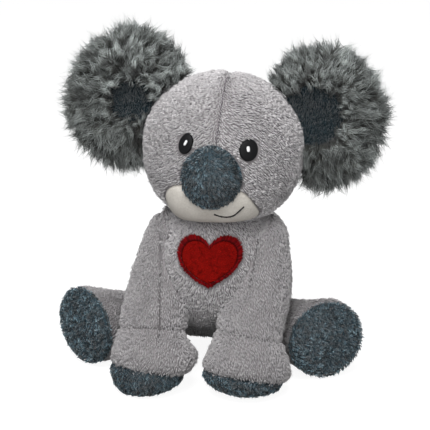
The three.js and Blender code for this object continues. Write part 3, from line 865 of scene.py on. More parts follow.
class Skin:
    """The cloth of one stuffed form, in millimetres in the toy's own frame, with the way that
    its pile is combed, and where it grows, how long it is and how far it lies down."""

    def __init__(self, points, faces):
        self.points, self.faces = points, faces
        self.cover, self.reach, self.lay = np.ones((3, len(points)))
        # Painted shade: how far the cloth is darkened, in its seams and along its rim
        self.crease_shade = np.zeros(len(points))
        self.comb = np.tile([0.0, 0.0, -1.0], (len(points), 1))

    def normals(self):
        mesh = mesh_of("measure", self.points, self.faces)
        found = rows(mesh.vertex_normals, "vector")
        bpy.data.meshes.remove(mesh)
        return found

    def fill(self):
        """Lets the filling press on the cloth: a cloth simulation on a coarse copy, whose moves
        the fine cloth follows. The copy's mean swell is taken off, so the size stays."""
        coarse = piece_of("coarse_cloth", mesh_of("coarse_cloth", self.points * MM, self.faces))
        remesh = coarse.modifiers.new("coarse", "REMESH")
        remesh.mode, remesh.voxel_size = "VOXEL", FILLING["voxel"] * MM
        mesh = remade(coarse)
        coarse.modifiers.remove(remesh)
        coarse.data = mesh
        start, ways = rows(mesh.vertices, "co") / MM, rows(mesh.vertex_normals, "vector")
        cloth = coarse.modifiers.new("filling", "CLOTH").settings
        cloth.use_pressure = True
        cloth.uniform_pressure_force = FILLING["pressure"]
        cloth.effector_weights.gravity = 0
        for moment in range(1, FILLING["frames"] + 1):
            bpy.context.scene.frame_set(moment)
        pressed = coarse.evaluated_get(bpy.context.evaluated_depsgraph_get())
        moves = rows(pressed.data.vertices, "co") / MM - start
        bpy.data.objects.remove(coarse)
        bpy.context.scene.frame_set(1)
        moves -= ways * np.mean(np.sum(moves * ways, axis=1))
        far = np.linalg.norm(moves, axis=1, keepdims=True)
        moves *= np.minimum(1, FILLING["cap"] / np.maximum(far, 1e-6))
        at_once = 2000
        for i in range(0, len(self.points), at_once):
            part = self.points[i : i + at_once]
            gaps = np.linalg.norm(part[:, None] - start[None], axis=2)
            shares = bell(gaps, FILLING["voxel"])
            self.points[i : i + at_once] += (shares @ moves) / shares.sum(axis=1, keepdims=True)

    def seam(self, distance, width=1.5, depth=1.0, bare=0.2, short=0.4):
        """Draws the cloth in where distance is zero. The pile parts and is shorter there, and the
        cloth is darkened there: painted shade in the seam.
        """
        dip = depth * bell(distance, width)
        self.points = self.points - self.normals() * dip[:, None]
        self.cover = np.where(np.abs(distance) < bare, 0.0, self.cover)
        self.crease_shade = np.maximum(self.crease_shade, bell(distance, 0.8))
        self.reach *= 1 - short * bell(distance, width)

    def hide_under(self, other, near, ahead=0.0):
        """No pile grows where another form rests on this one, or lies just ahead of it."""
        surface = BVHTree.FromPolygons(other.points.tolist(), other.faces)
        ways = self.normals()
        for i in np.nonzero(self.cover > 0)[0]:
            start = self.points[i].tolist()
            if surface.find_nearest(start, near)[0] is not None:
                self.cover[i] = 0
            elif ahead and surface.ray_cast(start, ways[i].tolist(), ahead)[0] is not None:
                self.cover[i] = 0

    def turn(self, rotation, origin):
        self.points = self.points @ rotation.T + origin
        self.comb = self.comb @ rotation.T
        return self

    def mesh(self, name, cover=None):
        """The cloth as a mesh, for itself or, with a cover, for the pile on it."""
        mesh = mesh_of(name, to_place(self.points), self.faces)
        facts = {"cover": cover, "reach": self.reach, "lay": self.lay, "comb": self.comb}
        for key, values in ({"crease_shade": self.crease_shade} if cover is None else facts).items():
            record_on(mesh, key, values)
        return mesh


def torso_skin():
    def sides(p):
        return np.minimum(np.abs(p[:, 0]) - HIP["out"] + HIP["gap"], HIP["top"] - p[:, 2])

    def under(p):
        return (BELLY["touch"] - p[:, 1]) * BELLY["slope"] + FLOOR_GAP - p[:, 2]

    belly = carved(lambda p: torso_field(p) + SHORT_ROOM, under, BELLY["round"])
    field = farthest(belly, sides, lambda p: FLOOR_GAP - p[:, 2])
    skin = Skin(*wrapped(field, (chest_middle + seat_middle) / 2, 7))
    p = skin.points
    side_seam = SIDE_SEAM_BACK - CHEST["forward"]
    skin.seam(np.hypot(p[:, 0], np.maximum(side_seam - p[:, 1], 0) * 2))
    skin.seam(skin.points[:, 1] - SIDE_SEAM_BACK + CHEST["forward"])
    out = np.where(p[:, 1] > 0, 0.0, p[:, 0] * 0.012)
    skin.comb = unit(np.stack([out, 0 * out, 0 * out - 1], axis=1))
    under_the_head = unit(p - chest_middle)[:, 2] > 0.93
    skin.cover[under_the_head] = 0
    return skin


def head_skin():
    def off_neck(p):
        return NECK_RADIUS + 0.3 - np.linalg.norm(p, axis=1)

    field = farthest(lambda p: head_ball(p) + SHORT_ROOM, off_neck)
    skin = Skin(*wrapped(field, head_centre, 7))
    p = skin.points - head_centre
    low_front = np.where((p[:, 1] < 0) & (p[:, 2] < 2), 2 - p[:, 2], 0)
    skin.seam(np.hypot(p[:, 0], low_front), *SEAMS["head"])
    outward = np.tanh(p[:, 0] / 4) * 1.2 + p[:, 0] * 0.02
    high = np.clip(unit(p)[:, 2], 0, 1)
    skin.comb = unit(np.stack([outward, 0 * outward - 0.3, 0.8 * high - 1], axis=1))
    skin.cover[off_neck(skin.points) > -0.6] = 0
    return skin.turn(head_rotation, chest_middle)


def nose_skin():
    ways, faces = ball_mesh(6)
    half = np.array(NOSE["half"]) - 1.4
    ways[:, 0] *= 1 - NOSE["taper"] * np.clip(ways[:, 2], 0, 1) ** 2
    front = head_centre[1] - HEAD["half"][1] - NOSE["stand"]
    middle = [-NOSE["aside"], front + NOSE["half"][1], head_centre[2] - NOSE["drop"]]
    skin = Skin(pushed_out(middle + ways * half, head_ball, 0.2), faces)
    skin.cover = (head_ball(skin.points) > 0.8).astype(float)
    crown = np.array([-2.0, -6.0, 9.0])  # the pile is combed away from here
    skin.comb = unit(unit(skin.points - middle - crown) + [0, 0, -0.2])
    return skin.turn(head_rotation, chest_middle)


def ear_frame(name, side):
    rotation = head_rotation @ turned("Z", math.radians(-EAR_ANGLE[name] * side))
    return rotation, joint_place(f"ear_fold_{name}") - toy_shift


def ear_dish(name, side):
    inward, rise = EAR_DISH[name]
    return np.array([(EAR["hinge"] - inward) * side, 0, rise]) + EAR_SHIFT[name]


def ear_form(name, side):
    """An ear without its fur: thin and rounded, narrower above, with a shallow dish in front."""
    middle = np.array([EAR["hinge"] * side, 0, 0]) + EAR_SHIFT[name]
    dish = ear_dish(name, side)
    half = EAR_CORE["half"]

    def field(p):
        q = (p - middle) / half
        wide = q[:, 0] * (1 + EAR_CORE["peak"][name] * np.clip(q[:, 2], 0, 1) ** 2)
        flat = np.hypot(wide, q[:, 2])
        lens = (np.hypot(flat, q[:, 1]) - 1) * half[1]
        out = np.hypot(p[:, 0] - dish[0], p[:, 2] - dish[2])
        dip = EAR_CORE["dip"] * np.clip(1 - (out / EAR_CORE["dish"]) ** 2, 0, 1) ** 2
        front = dip - half[1] * np.sqrt(np.maximum(1 - flat * flat, 0)) - p[:, 1]
        return np.maximum(lens, front)

    return field


def ear_skin(name, side):
    rotation, origin = ear_frame(name, side)
    folds = [turned("Z", math.radians(a)) for a in (-EAR["fold"], 0, EAR["fold"])]

    def head_there(p):
        """How far the head is from a point of the ear, however the ear is folded."""
        return np.min([head_in_toy((p @ f.T) @ rotation.T + origin) for f in folds], axis=0)

    field = farthest(ear_form(name, side), lambda p: EAR["head_gap"] - head_there(p))
    start = np.array([(EAR["hinge"] + 4) * side, 2.5, 1.0])
    skin = Skin(*wrapped(field, start, 6))
    room = head_there(skin.points)
    skin.cover = (room > 0.9).astype(float)
    out = (skin.points - ear_dish(name, side)) * [1, 0.3, 1]
    # By the head, fur stands up and runs along the head instead of into it
    near = np.clip(1 - (room - 1) / 11, 0, 1)[:, None]
    inward = out[:, :1] * side < 0
    along = np.where(out[:, 2:] > -2, 1.0, -1.0) * [0, 0, 1] + [-0.15 * side, -0.3, 0]
    skin.comb = unit(np.where(inward, unit(out) * (1 - near) + along * near, unit(out)))
    skin.lay = 1 - 0.35 * near[:, 0] * inward[:, 0]
    skin.reach = 1 - 0.15 * near[:, 0] * inward[:, 0]
    ahead = skin.points[:, 1] < 0
    skin.cover[ahead & (np.hypot(out[:, 0], out[:, 2]) < EAR_PAD[name])] = 0
    return skin.turn(rotation, origin)


def arm_stops(name, side):
    """Where the middle of a front leg runs, and half its width and depth on the way."""
    x, forward, height, *girths = np.array(ARM).T
    girths[0][-1] = ARM_SOLE[name]
    stops = [(x - ARM_IN[name]) * side, -CHEST["forward"] - forward, height]
    return np.stack(stops, axis=1), np.stack(girths, axis=1)


def seam_plane(seam, middle):
    """A point of a sloping seam's plane, over the middle, and the way that the plane faces."""
    height, slope, roll = seam[0], math.radians(seam[1]), math.radians(seam[2])
    way = unit(np.array([-math.tan(roll), -math.tan(slope), 1.0]))
    return np.array([*middle[:2], height]), way


def over_plane(points, plane):
    return (points - plane[0]) @ plane[1]


def head_places(p):
    """How far the head is from points of the toy, however it is turned."""
    found = []
    for nod in (-10, -2, 6, 14, 21):
        for turn in (-18, -6, 6, 18):
            moved = turned("X", math.radians(nod)) @ turned("Z", math.radians(turn))
            found.append(in_frame(head_ball, moved @ head_rotation, chest_middle)(p))
    return np.min(found, axis=0)


def arm_skin(name, side):
    stops, girths = arm_stops(name, side)

    def off_body(p):
        gap = np.interp(SHOULDER_TOP - p[:, 2], *ARM_GAP)
        return np.minimum(torso_field(p), chest_field(p)) - gap

    def clear(p):
        # Thin at the inside of the shoulder, so that it runs on from the chest
        aside = SHOULDER["aside"] * np.maximum(p[:, 0] * side - SHOULDER["from"], 0)
        below = SHOULDER_TOP - p[:, 2]
        proud = SHOULDER["least"] + np.minimum(aside, SHOULDER["top"] + SHOULDER["down"] * below)
        proud = proud + SHOULDER_FREE["steep"] * np.maximum(below - SHOULDER_FREE["below"], 0)
        return np.min([off_body(p), proud - chest_field(p), head_places(p) - ARM_HEAD_GAP], axis=0)

    skin = Skin(*tube(stops, girths, *ARM_ROUND, clear))
    skin.fill()
    points = skin.points
    skin.cover = (off_body(points) > 0.15).astype(float)
    skin.reach = np.where(head_places(points) < 1.2, 0.7, 1.0)
    wrist, paw = seam_plane(WRIST_SEAM[name], stops[2]), seam_plane(PAW_SEAM[name], stops[3])
    aside, drift = SLEEVE_SEAM[name]
    sleeve = points[:, 0] * side - aside - drift * points[:, 2]
    sleeve = np.hypot(sleeve, 0.3 * np.maximum(SLEEVE_END[name] - points[:, 2], 0))
    skin.seam(sleeve, *SLEEVE_FOLD[name])
    skin.seam(over_plane(points, wrist), *SEAMS["wrist"])
    skin.seam(over_plane(points, paw), *SEAMS["paw"])
    skin.points[:, 2] = np.maximum(skin.points[:, 2], FLOOR_GAP)
    skin.comb = np.tile(unit(stops[3] - stops[0]), (len(points), 1))
    skin.comb[:, 0] += side * 0.15
    return skin


def leg_line(name, side):
    """Where a hind leg starts, its way along the floor and the way that its sole faces."""
    splay = math.radians(LEG_ANGLE[name])
    way = np.array([math.sin(splay) * side, -math.cos(splay), 0])
    sole_way = unit(way - [0, 0, SOLE_SEAM[name]["lean"]])
    return joint_place(f"leg_lift_{name}") - toy_shift, way, sole_way


def leg_skin(name, side):
    origin, way, sole_way = leg_line(name, side)
    end = way * LEG["length"] + [0, 0, LEG["sole"] - LEG["hip"] + LEG["rise"]]
    stops = [-way * LEG["hip"], end / 2, end]
    girths = [[LEG["hip"]] * 2, [(LEG["hip"] + LEG["sole"]) / 2] * 2, [LEG["sole"]] * 2]
    points, faces = tube(stops, girths, LEG["hip"], LEG["round"])
    out = np.clip(points @ way / LEG["length"], 0, 1)
    lean = SOLE_LEAN[name] * out * out * (3 - 2 * out)
    points = points + way * ((points[:, 2] - end[2]) * lean)[:, None]
    against_hip = points[:, 0] * side < 0.3
    points[:, 0] = np.maximum(points[:, 0] * side, 0.15) * side
    skin = Skin(points, faces)
    skin.fill()
    skin.seam((points - end) @ sole_way + SOLE_SEAM[name]["behind"], *SEAMS["sole"])
    skin.comb = np.tile(way, (len(points), 1)) + [0, 0, -0.4]
    skin.cover[against_hip] = 0
    skin.points += origin
    skin.points[:, 2] = np.maximum(skin.points[:, 2], FLOOR_GAP)
    return skin


torso, head, nose = torso_skin(), head_skin(), nose_skin()
ears = {name: ear_skin(name, side) for name, side in SIDES.items()}
arms = {name: arm_skin(name, side) for name, side in SIDES.items()}
legs = {name: leg_skin(name, side) for name, side in SIDES.items()}
for name in SIDES:
    torso.hide_under(arms[name], near=0.3, ahead=3.0)
    torso.hide_under(legs[name], near=0.6, ahead=3.0)
    head.hide_under(ears[name], near=1.8)
head.hide_under(nose, near=1.4)
on_floor = 0.6  # no pile grows under this height
for skin in (torso, *arms.values(), *legs.values()):
    skin.cover[skin.points[:, 2] < on_floor] = 0


# Patches sewn on a form


def forwards_to(field, y):
    """Puts points of a flat drawing, x and z, on the front of a form."""

    def place(flat, level):
        starts = np.stack([flat[:, 0], 0 * flat[:, 0] + y, flat[:, 1]], axis=1)
        return cast(field, starts, np.tile([0.0, -1.0, 0.0], (len(flat), 1)), level)

    return place


def outwards_to(field, centre):
    """Puts points of a drawing in angles, across and up, on a form around a centre."""

    def place(flat, level):
        across, up = np.radians(flat.T)
        ways = [np.cos(up) * np.sin(across), -np.cos(up) * np.cos(across), np.sin(up)]
        return cast(field, centre, np.stack(ways, axis=1), level)

    return place


def patch(place, outline, middle, rings, over, crown=0.0, under=UNDER):
    """A closed sheet on a form: its points, its faces and how near each point is to the edge."""
    count = len(outline)
    shares = np.linspace(0, 1, rings + 1)[1:] ** 0.8
    flat = (middle + (outline - middle)[None] * shares[:, None, None]).reshape(-1, 2)
    edge = np.repeat(shares, count)
    swell = crown(flat) if callable(crown) else crown
    height = over + swell * (1 - edge**4) - (over - under) * 0.5 * edge**40
    crest = height[:count].max()
    middles = place(np.array([middle, middle]), np.array([crest, under]))
    points = np.vstack([middles, place(flat, height), place(flat, under)])
    faces = []
    first_low = 2 + rings * count
    for j in range(count):
        k = (j + 1) % count
        for start, centre in ((2, 0), (first_low, 1)):
            faces.append((centre, start + j, start + k))
            for a in range(start, start + (rings - 1) * count, count):
                faces.append((a + j, a + count + j, a + count + k, a + k))
        a, b = first_low - count, first_low + (rings - 1) * count
        faces.append((a + j, b + j, b + k, a + k))
    return points, faces, np.concatenate([[0, 0], edge, edge])


def even_steps(outline, count):
    """A closed outline again, with its points at even steps."""
    ring = np.vstack([outline, outline[:1]])
    far = far_along(ring)
    steps = np.linspace(0, far[-1], count, endpoint=False)
    return np.stack([np.interp(steps, far, ring[:, i]) for i in (0, 1)], axis=1)


def oval(middle, half, count, power=2.0, lean=0.0):
    """A round or squarer outline, whose top leans towards +x by an angle."""
    angle = np.linspace(0, 2 * math.pi, count, endpoint=False)
    ways = np.stack([np.cos(angle), np.sin(angle)], axis=1)
    swell = (np.abs(ways) ** power).sum(1) ** (-1 / power)
    cos, sin = math.cos(math.radians(lean)), math.sin(math.radians(lean))
    return middle + (ways * swell[:, None] * half) @ np.array([[cos, -sin], [sin, cos]])


def rounded(outline, rounds=3):
    """A closed outline with its corners cut off, until it is smooth."""
    for _ in range(rounds):
        ahead = np.roll(outline, -1, axis=0)
        cuts = np.stack([0.75 * outline + 0.25 * ahead, 0.25 * outline + 0.75 * ahead], axis=1)
        outline = cuts.reshape(-1, 2)
    return outline


heart_middle = np.array([HEART["x"], chest_middle[2] + HEART["rise"]])


def heart_outline(inset, count):
    """Both lobes, from curves that are shares of half the width and half the height."""
    half = np.array([HEART["half_width"] - inset, HEART["height"] / 2 - inset])
    t = np.linspace(0, 1, 60)[:, None]
    side, start = [], np.array([0.0, -1.0])
    for out, back, to in np.array(HEART_CURVES):
        curve = (1 - t) ** 3 * start + 3 * (1 - t) ** 2 * t * out
        curve += 3 * (1 - t) * t**2 * back + t**3 * to
        side.append(curve[:-1])
        start = to
    right = np.vstack([*side, start])
    both = np.vstack([right, right[-2:0:-1] * [-1, 1]]) * half
    return even_steps(both, count) + heart_middle


# Pieces

pile = pile_tree()
stitches_tree = stitch_tree()
short_tuft = kept_strand("short_tuft", *strand(((0.4, 0.5),), 3, 0.5))
plush_lock = kept_strand("plush_lock", *fur_lock(2, 9, 0.27, ((0.45, 1.0),), (0.2, 0.6)))
slate_lock = kept_strand("slate_lock", *fur_lock(3, 12, 0.25, ((0.45, 1.0),)))
long_lock = kept_strand(
    "long_lock", *fur_lock(9, 4, 0.06, ((0.3, 1.0), (0.7, 0.7)), (0.6, 1.7), (0.3, 1.3))
)
stitch_rings = ((0.15, 0.36), (0.5, 0.5), (0.85, 0.36))
stitch_strand = kept_strand("stitch_strand", *strand(stitch_rings, 5, 0.3))

# Each kind of pile: where its finish comes from, its tufts, their sizes in millimetres, and
# where it differs from the tree's own values
COLUMNS = ("Tuft", "Spacing", "Length", "Girth", "Lean", "Wander")
LONG_FUR = {"Uneven": 0.35, "Patch": 11.0, "Clump": 5.0, "Twist": 2.4}
KINDS = {
    "short": ("plush", plush_lock, 0.76, 2.9, 0.9, 1.26, 0.28, {}),
    "slate": ("dark_plush", slate_lock, 0.86, 3.1, 0.95, 1.05, 0.65, {"Patch": 4.5, "Clump": 1.3}),
    "velour": ("cream_velour", short_tuft, 0.55, 1.0, 0.42, 0.8, 0.15, {}),
    "felt": ("red_felt", short_tuft, 0.5, 1.1, 0.36, 1.2, 2.0, {"Patch": 2.5, "Twist": 1.5}),
    "pad": ("dark_plush", short_tuft, 0.7, 2.4, 0.55, 0.9, 0.7, {"Patch": 5.0}),
    "fur": ("ear_fur", long_lock, 1.0, 11.8, 2.3, 0.9, 0.8, LONG_FUR),
}
LENGTHS = ("Spacing", "Length", "Girth", "Patch", "Clump")


def settle(piece, body, slot, nodes=()):
    """Puts a piece on the body it rides on and hides the imported parts that it stands for. The
    slot is not used.
    """
    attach(piece, body)
    if nodes:
        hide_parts(*nodes)


def sew(name, skin, finish, body, slot, nodes):
    """The cloth of a skin as a piece."""
    settle(piece_of(name, skin.mesh(name), finish), body, slot, nodes)


def embroider(name, skin, finish, slot, node):
    """A patch of satin stitches on the head, as one smooth sheet."""
    mesh = mesh_of(name, to_place(skin.points), skin.faces)
    settle(piece_of(name, mesh, finish), "head", slot, (node,))


def stitch(name, starts, ends, form, girth, finish, body, slot, nodes=(), sink=0.0):
    """Stitches on a form from starts to ends, in millimetres in the toy's frame."""
    overs = unit(slopes(form, starts))
    mesh = mesh_of(name, to_place(starts - overs * sink), [])
    record_on(mesh, "way", (ends - starts) * MM)
    record_on(mesh, "over", overs)
    values = {"Stitch": stitch_strand, "Girth": girth * MM, "Material": finish}
    settle(run_tree(name, stitches_tree, mesh, values), body, slot, nodes)


def grow(name, skin, kind, finish, body, seed, keep=1):
    """Pile on a skin, where the skin's cover and keep allow it."""
    slot, *common, special = KINDS[kind]
    values = dict(zip(COLUMNS, common)) | special
    values = {key: v * MM if key in LENGTHS else v for key, v in values.items()}
    values |= {"Material": finish, "Seed": seed}
    made = run_tree(name, pile, skin.mesh(name, skin.cover * keep), values)
    points = rows(made.data.vertices, "co")
    low = points[:, 2] < FLAT_BELOW * MM
    points[low, 2] = (FLAT_BELOW + (points[low, 2] / MM - FLAT_BELOW) * FLATTENED) * MM
    made.data.vertices.foreach_set("co", points.astype(np.float32).ravel())
    made.data.update()
    settle(made, body, slot)


def cut_in_two(skin, at, way, *parts):
    """The part of a limb's cloth ahead of a plane and the one behind, closed by flat walls."""
    made = []
    for sign, (name, finish) in zip((1, -1), parts):
        mesh = skin.mesh(name)
        bm = bmesh.new()
        bm.from_mesh(mesh)
        bmesh.ops.bisect_plane(
            bm,
            geom=[*bm.verts, *bm.edges, *bm.faces],
            plane_co=Vector(to_place(at + way * sign * CUT_GAP / 2)),
            plane_no=Vector(way * sign),
            clear_inner=True,
        )
        bmesh.ops.holes_fill(bm, edges=[e for e in bm.edges if e.is_boundary], sides=0)
        bmesh.ops.recalc_face_normals(bm, faces=bm.faces[:])
        bm.to_mesh(mesh)
        bm.free()
        made.append(piece_of(name, mesh, finish))
    return made


# Torso
nodes = ("chest_panel", "back_panel_left", "back_panel_right", "torso_filling")
sew("torso_cloth", torso, grey_cloth_painted_shade, "torso", "plush", nodes)

heart_place = forwards_to(torso_field, chest_middle[1])
whole = patch(heart_place, heart_outline(0.4, 160), heart_middle, rings=24, over=0.6)
torso.hide_under(Skin(*whole[:2]), near=0.9)
outline = heart_outline(HEART["edge"] - 0.6, 160)
*made, edge = patch(heart_place, outline, heart_middle, rings=24, over=1.0)
felt = Skin(*made)
# Painted shade: a dark line along the felt's rim, where the satin border starts
felt.crease_shade = np.clip((edge - 0.92) / 0.05, 0, 1) * 0.6
felt.cover = (felt.normals()[:, 1] < -0.2) * (edge < 0.93)
sew("heart_felt", felt, red_felt, "torso", "red_felt", ("heart_patch",))
grow("heart_fuzz", felt, "felt", felt_pile, "torso", 12)

inner, outer = (heart_outline(inset, HEART["stitches"]) for inset in (HEART["edge"], 0.0))
spread = np.random.default_rng(5).uniform(-0.5, 0.4, (2, HEART["stitches"], 1))
across = unit(outer - inner)
starts = heart_place(inner - across * (0.1 + spread[0] * 0.5), 1.25)
ends = heart_place(outer + across * spread[1], 0.9)
border = (starts, ends, torso_field, 0.7, red_thread, "torso", "red_thread")
stitch("heart_satin", *border, ("heart_border",), 0.05)

# Neck
angle = np.linspace(0, 2 * math.pi, NECK["around"], endpoint=False)
rise = np.radians(np.linspace(*NECK["rise"], NECK["rings"]))
fold = 0.25 * np.sin(angle * 30) + 0.15 * np.sin(angle * 47 + 1)
rings = []
for level, ups, folds in zip(NECK["levels"], (rise, rise[::-1]), (0 * fold, fold)):
    for up in ups:
        flat, high = (level + folds) * np.sin(up), (level + folds) * np.cos(up)
        rings.append(np.stack([flat * np.cos(angle), flat * np.sin(angle), high], axis=1))
count, faces = len(angle), []
for i in range(len(rings)):
    a, b = i * count, (i + 1) % len(rings) * count
    faces += [(a + j, a + (j + 1) % count, b + (j + 1) % count, b + j) for j in range(count)]
mesh = mesh_of("neck_gather", to_place(np.vstack(rings) + chest_middle), faces)
settle(piece_of("neck_gather", mesh, grey_cloth_painted_shade), "neck", "plush", ("neck_seam",))

# Head
nodes = ("head_panel_left", "head_panel_right", "head_filling")
sew("head_cloth", head, grey_cloth_painted_shade, "head", "plush", nodes)


def muzzle_crown(flat):
    """The stuffing under the muzzle hangs to the lower right of the face."""
    low_side = np.clip(-flat[:, 0] / 45, 0, 1) * np.clip(-(flat[:, 1] + 30) / 15, 0, 1)
    return MUZZLE_CROWN + MUZZLE_JOWL * low_side


on_head = outwards_to(head_ball, head_centre)
outline = even_steps(rounded(np.array(MUZZLE, float)), 220)
middle = np.array(MUZZLE_MIDDLE)
points, faces, edge = patch(on_head, outline, middle, rings=36, over=0.5, crown=muzzle_crown)
muzzle = Skin(on_toy(points), faces)
muzzle.cover = (head_ball(points) > 0.3).astype(float)
# Painted shade: the velour darkens along its rim, where it is sewn to the head
muzzle.crease_shade = 0.7 * np.clip((edge - 0.965) / 0.035, 0, 1)
muzzle.reach = 1 - 0.5 * muzzle.crease_shade
muzzle.hide_under(nose, near=0.4)
head.hide_under(muzzle, near=0.6)
sew("muzzle_velour", muzzle, cream_cloth, "head", "cream_velour", ("muzzle_panel",))
sew("nose_cloth", nose, slate_cloth, "head", "dark_plush", ("nose_cover", "nose_filling"))

straight_on = forwards_to(head_ball, head_centre[1])
for name, eye in EYES.items():
    spot = np.array([eye["spot"][0], head_centre[2] + eye["spot"][1]])
    outline = oval(spot, eye["half"], 96, lean=eye["lean"])
    points, faces, _ = patch(straight_on, outline, spot, rings=14, over=0.5, crown=0.7)
    satin = Skin(on_toy(points), faces)
    head.hide_under(satin, near=0.7)
    embroider(f"eye_satin_{name}", satin, black_thread, "black_thread", f"eye_{name}")
    shine = spot + [0, SHINE_RISE]
    outline = oval(shine, eye["shine"], 40, 3.0, 1.4 * eye["lean"])
    sizes = {"rings": 6, "over": 1.45, "crown": 0.25, "under": 0.9}
    points, faces, _ = patch(straight_on, outline, shine, **sizes)
    glint = Skin(on_toy(points), faces)
    embroider(f"glint_satin_{name}", glint, white_thread, "white_thread", f"eye_glint_{name}")

line = straight_on(smooth_curve(MOUTH, 20) + [0, head_centre[2]], 0.6 + MUZZLE_CROWN)
lap = np.diff(line, axis=0) * 0.2
mouth = (on_toy(line[:-1] - lap), on_toy(line[1:] + lap), head_in_toy, 0.9, black_thread)
stitch("mouth_thread", *mouth, "head", "black_thread", ("mouth_stitch",))

rise = np.linspace(BROW["from"], BROW["to"], BROW["stitches"])
sway = np.random.default_rng(8).uniform(-0.5, 0.5, BROW["stitches"])
starts = on_toy(on_head(np.stack([sway, rise], axis=1), 0.1))
ends = on_toy(on_head(np.stack([-sway, rise - BROW["step"]], axis=1), 0.1))
stitch("forehead_stitches", starts, ends, head_in_toy, 0.55, mauve_thread, "head", "plush")

for name, side in SIDES.items():
    half = (head.points[:, 0] * side > 0).astype(float)
    grow(f"head_pile_{name}", head, "short", grey_pile, "head", 2, half)
grow("muzzle_pile", muzzle, "velour", cream_pile, "head", 3)
grow("nose_pile", nose, "slate", slate_pile, "head", 4)
ahead = torso.points[:, 1] < -CHEST["forward"]
for name, half in (("front", ahead), ("back", ~ahead)):
    grow(f"torso_pile_{name}", torso, "short", body_pile_painted_shade, "torso", 1, half)

bare = 0.2  # no pile grows this near to the seam of a paw or a sole
for name, side in SIDES.items():
    # Ears
    body = f"ear_{name}"
    ear = ears[name]
    nodes = (f"ear_back_{name}", f"ear_front_{name}", f"ear_filling_{name}")
    sew(f"ear_cloth_{name}", ear, ear_cloth, body, "ear_fur", nodes)
    rotation, origin = ear_frame(name, side)
    dish = ear_dish(name, side)[[0, 2]]
    outline = oval(dish, [EAR_PAD[name] + 1.5] * 2, 96)
    in_ear = forwards_to(ear_form(name, side), 2.0)
    sizes = {"rings": 16, "over": 0.9, "crown": 0.5, "under": -0.5}
    points, faces, _ = patch(in_ear, outline, dish, **sizes)
    pad = Skin(pushed_out(points @ rotation.T + origin, head_in_toy, 0.3), faces)
    pad.cover = (points[:, 1] < 0).astype(float)
    sew(f"ear_pad_cloth_{name}", pad, pad_cloth, body, "dark_plush", (f"ear_patch_{name}",))
    grow(f"ear_pad_pile_{name}", pad, "pad", pad_pile, body, 5)
    ahead = (ear.points - origin) @ rotation[:, 1] < 0
    grow(f"ear_fur_front_{name}", ear, "fur", ear_fur, body, 6, ahead)
    grow(f"ear_fur_back_{name}", ear, "fur", ear_fur, body, 11, ~ahead)

    # Front legs
    body = f"arm_{name}"
    arm, plane = arms[name], seam_plane(PAW_SEAM[name], arm_stops(name, side)[0][3])
    parts = (f"arm_cloth_{name}", grey_cloth_painted_shade), (f"paw_pad_cloth_{name}", slate_cloth)
    sleeve, sole = cut_in_two(arm, *plane, *parts)
    nodes = ("sleeve_outer", "sleeve_inner", "paw_cuff", "arm_filling")
    settle(sleeve, body, "plush", [f"{node}_{name}" for node in nodes])
    settle(sole, body, "dark_plush", (f"paw_pad_{name}",))
    high = over_plane(arm.points, plane)
    grow(f"arm_pile_{name}", arm, "short", limb_pile_painted_shade, body, 7, high > bare)
    grow(f"paw_pad_pile_{name}", arm, "slate", slate_pile, body, 8, high < -bare)

    # Hind legs
    body = f"leg_{name}"
    leg = legs[name]
    origin, way, sole_way = leg_line(name, side)
    end = origin + way * LEG["length"] + [0, 0, LEG["sole"] - LEG["hip"]]
    at = end - sole_way * SOLE_SEAM[name]["behind"]
    parts = (f"sole_cloth_{name}", slate_cloth), (f"leg_cloth_{name}", grey_cloth_painted_shade)
    sole, thigh = cut_in_two(leg, at, sole_way, *parts)
    settle(thigh, body, "plush", (f"leg_skin_{name}", f"leg_filling_{name}"))
    settle(sole, body, "dark_plush", (f"foot_sole_{name}",))
    ahead = (leg.points - at) @ sole_way
    grow(f"leg_pile_{name}", leg, "short", thigh_pile_painted_shade, body, 9, ahead < -bare)
    grow(f"sole_pile_{name}", leg, "slate", slate_pile, body, 10, ahead > bare)

for strand_object in (short_tuft, plush_lock, slate_lock, long_lock, stitch_strand):
    bpy.data.objects.remove(strand_object)


# The floor, the light and the camera


def seen_directly(tree):
    path = tree.nodes.new("ShaderNodeLightPath").outputs
    rays = (path[f"Is {kind} Ray"] for kind in ("Camera", "Glossy", "Transmission"))
    return maths(tree, "MAXIMUM", *rays)


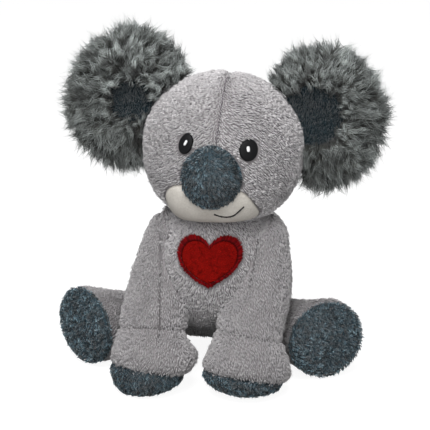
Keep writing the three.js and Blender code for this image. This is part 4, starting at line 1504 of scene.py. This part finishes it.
def white_surface(name, glow):
    """White where the camera or a reflection sees it, and still darker under a shadow."""
    made = bpy.data.materials.new(name)
    tree = cleared(made)
    matt = add(tree, "ShaderNodeBsdfDiffuse", {"Color": (FLOOR_PALE, FLOOR_PALE, FLOOR_PALE, 1)})
    bright = maths(tree, "MULTIPLY", seen_directly(tree), glow)
    light = add(tree, "ShaderNodeEmission", {"Strength": bright})
    both = add(tree, "ShaderNodeAddShader", {0: matt.outputs[0], 1: light.outputs[0]})
    to_end(tree, both, "ShaderNodeOutputMaterial")
    return made


floor_mesh = bpy.data.meshes.new("floor")
corners = [(x * FLOOR_HALF, y * FLOOR_HALF, 0) for x, y in ((-1, -1), (1, -1), (1, 1), (-1, 1))]
floor_mesh.from_pydata(corners, [], [(0, 1, 2, 3)])
piece_of("floor", floor_mesh, white_surface("floor_white", FLOOR_GLOW))

world = bpy.data.worlds.new("studio")
bpy.context.scene.world = world
tree = cleared(world)
strength = spread_of(tree, seen_directly(tree), 0, 1, AMBIENT, 1.0)
sky = add(tree, "ShaderNodeBackground", {"Color": (1, 1, 1, 1), "Strength": strength})
to_end(tree, sky, "ShaderNodeOutputWorld")

for name, place, size, power in LAMPS:
    lamp = bpy.data.lights.new(name, "AREA")
    lamp.size, lamp.energy = size, power
    made = piece_of(name, lamp)
    made.location = place
    made.rotation_euler = (Vector(LIT_SPOT) - Vector(place)).to_track_quat("-Z", "Y").to_euler()

azimuth, elevation = math.radians(CAMERA["azimuth"]), math.radians(CAMERA["elevation"])
right = Vector((math.cos(azimuth), math.sin(azimuth), 0))
flat = math.cos(elevation)
back = Vector((math.sin(azimuth) * flat, -math.cos(azimuth) * flat, math.sin(elevation)))
up = back.cross(right)
under = Vector(toy_shift * [1, 1, 0]) * MM
camera = piece_of("camera", bpy.data.cameras.new("camera"))
camera.location = under + back * CAMERA["distance"]
aim = under + right * CAMERA["aim"][0] * MM + up * CAMERA["aim"][1] * MM
camera.rotation_euler = (camera.location - aim).to_track_quat("Z", "Y").to_euler()
camera.data.lens = CAMERA["lens"]
camera.data.sensor_width = 36.0
bpy.context.scene.camera = camera
bpy.context.scene.view_settings.view_transform = "Standard"
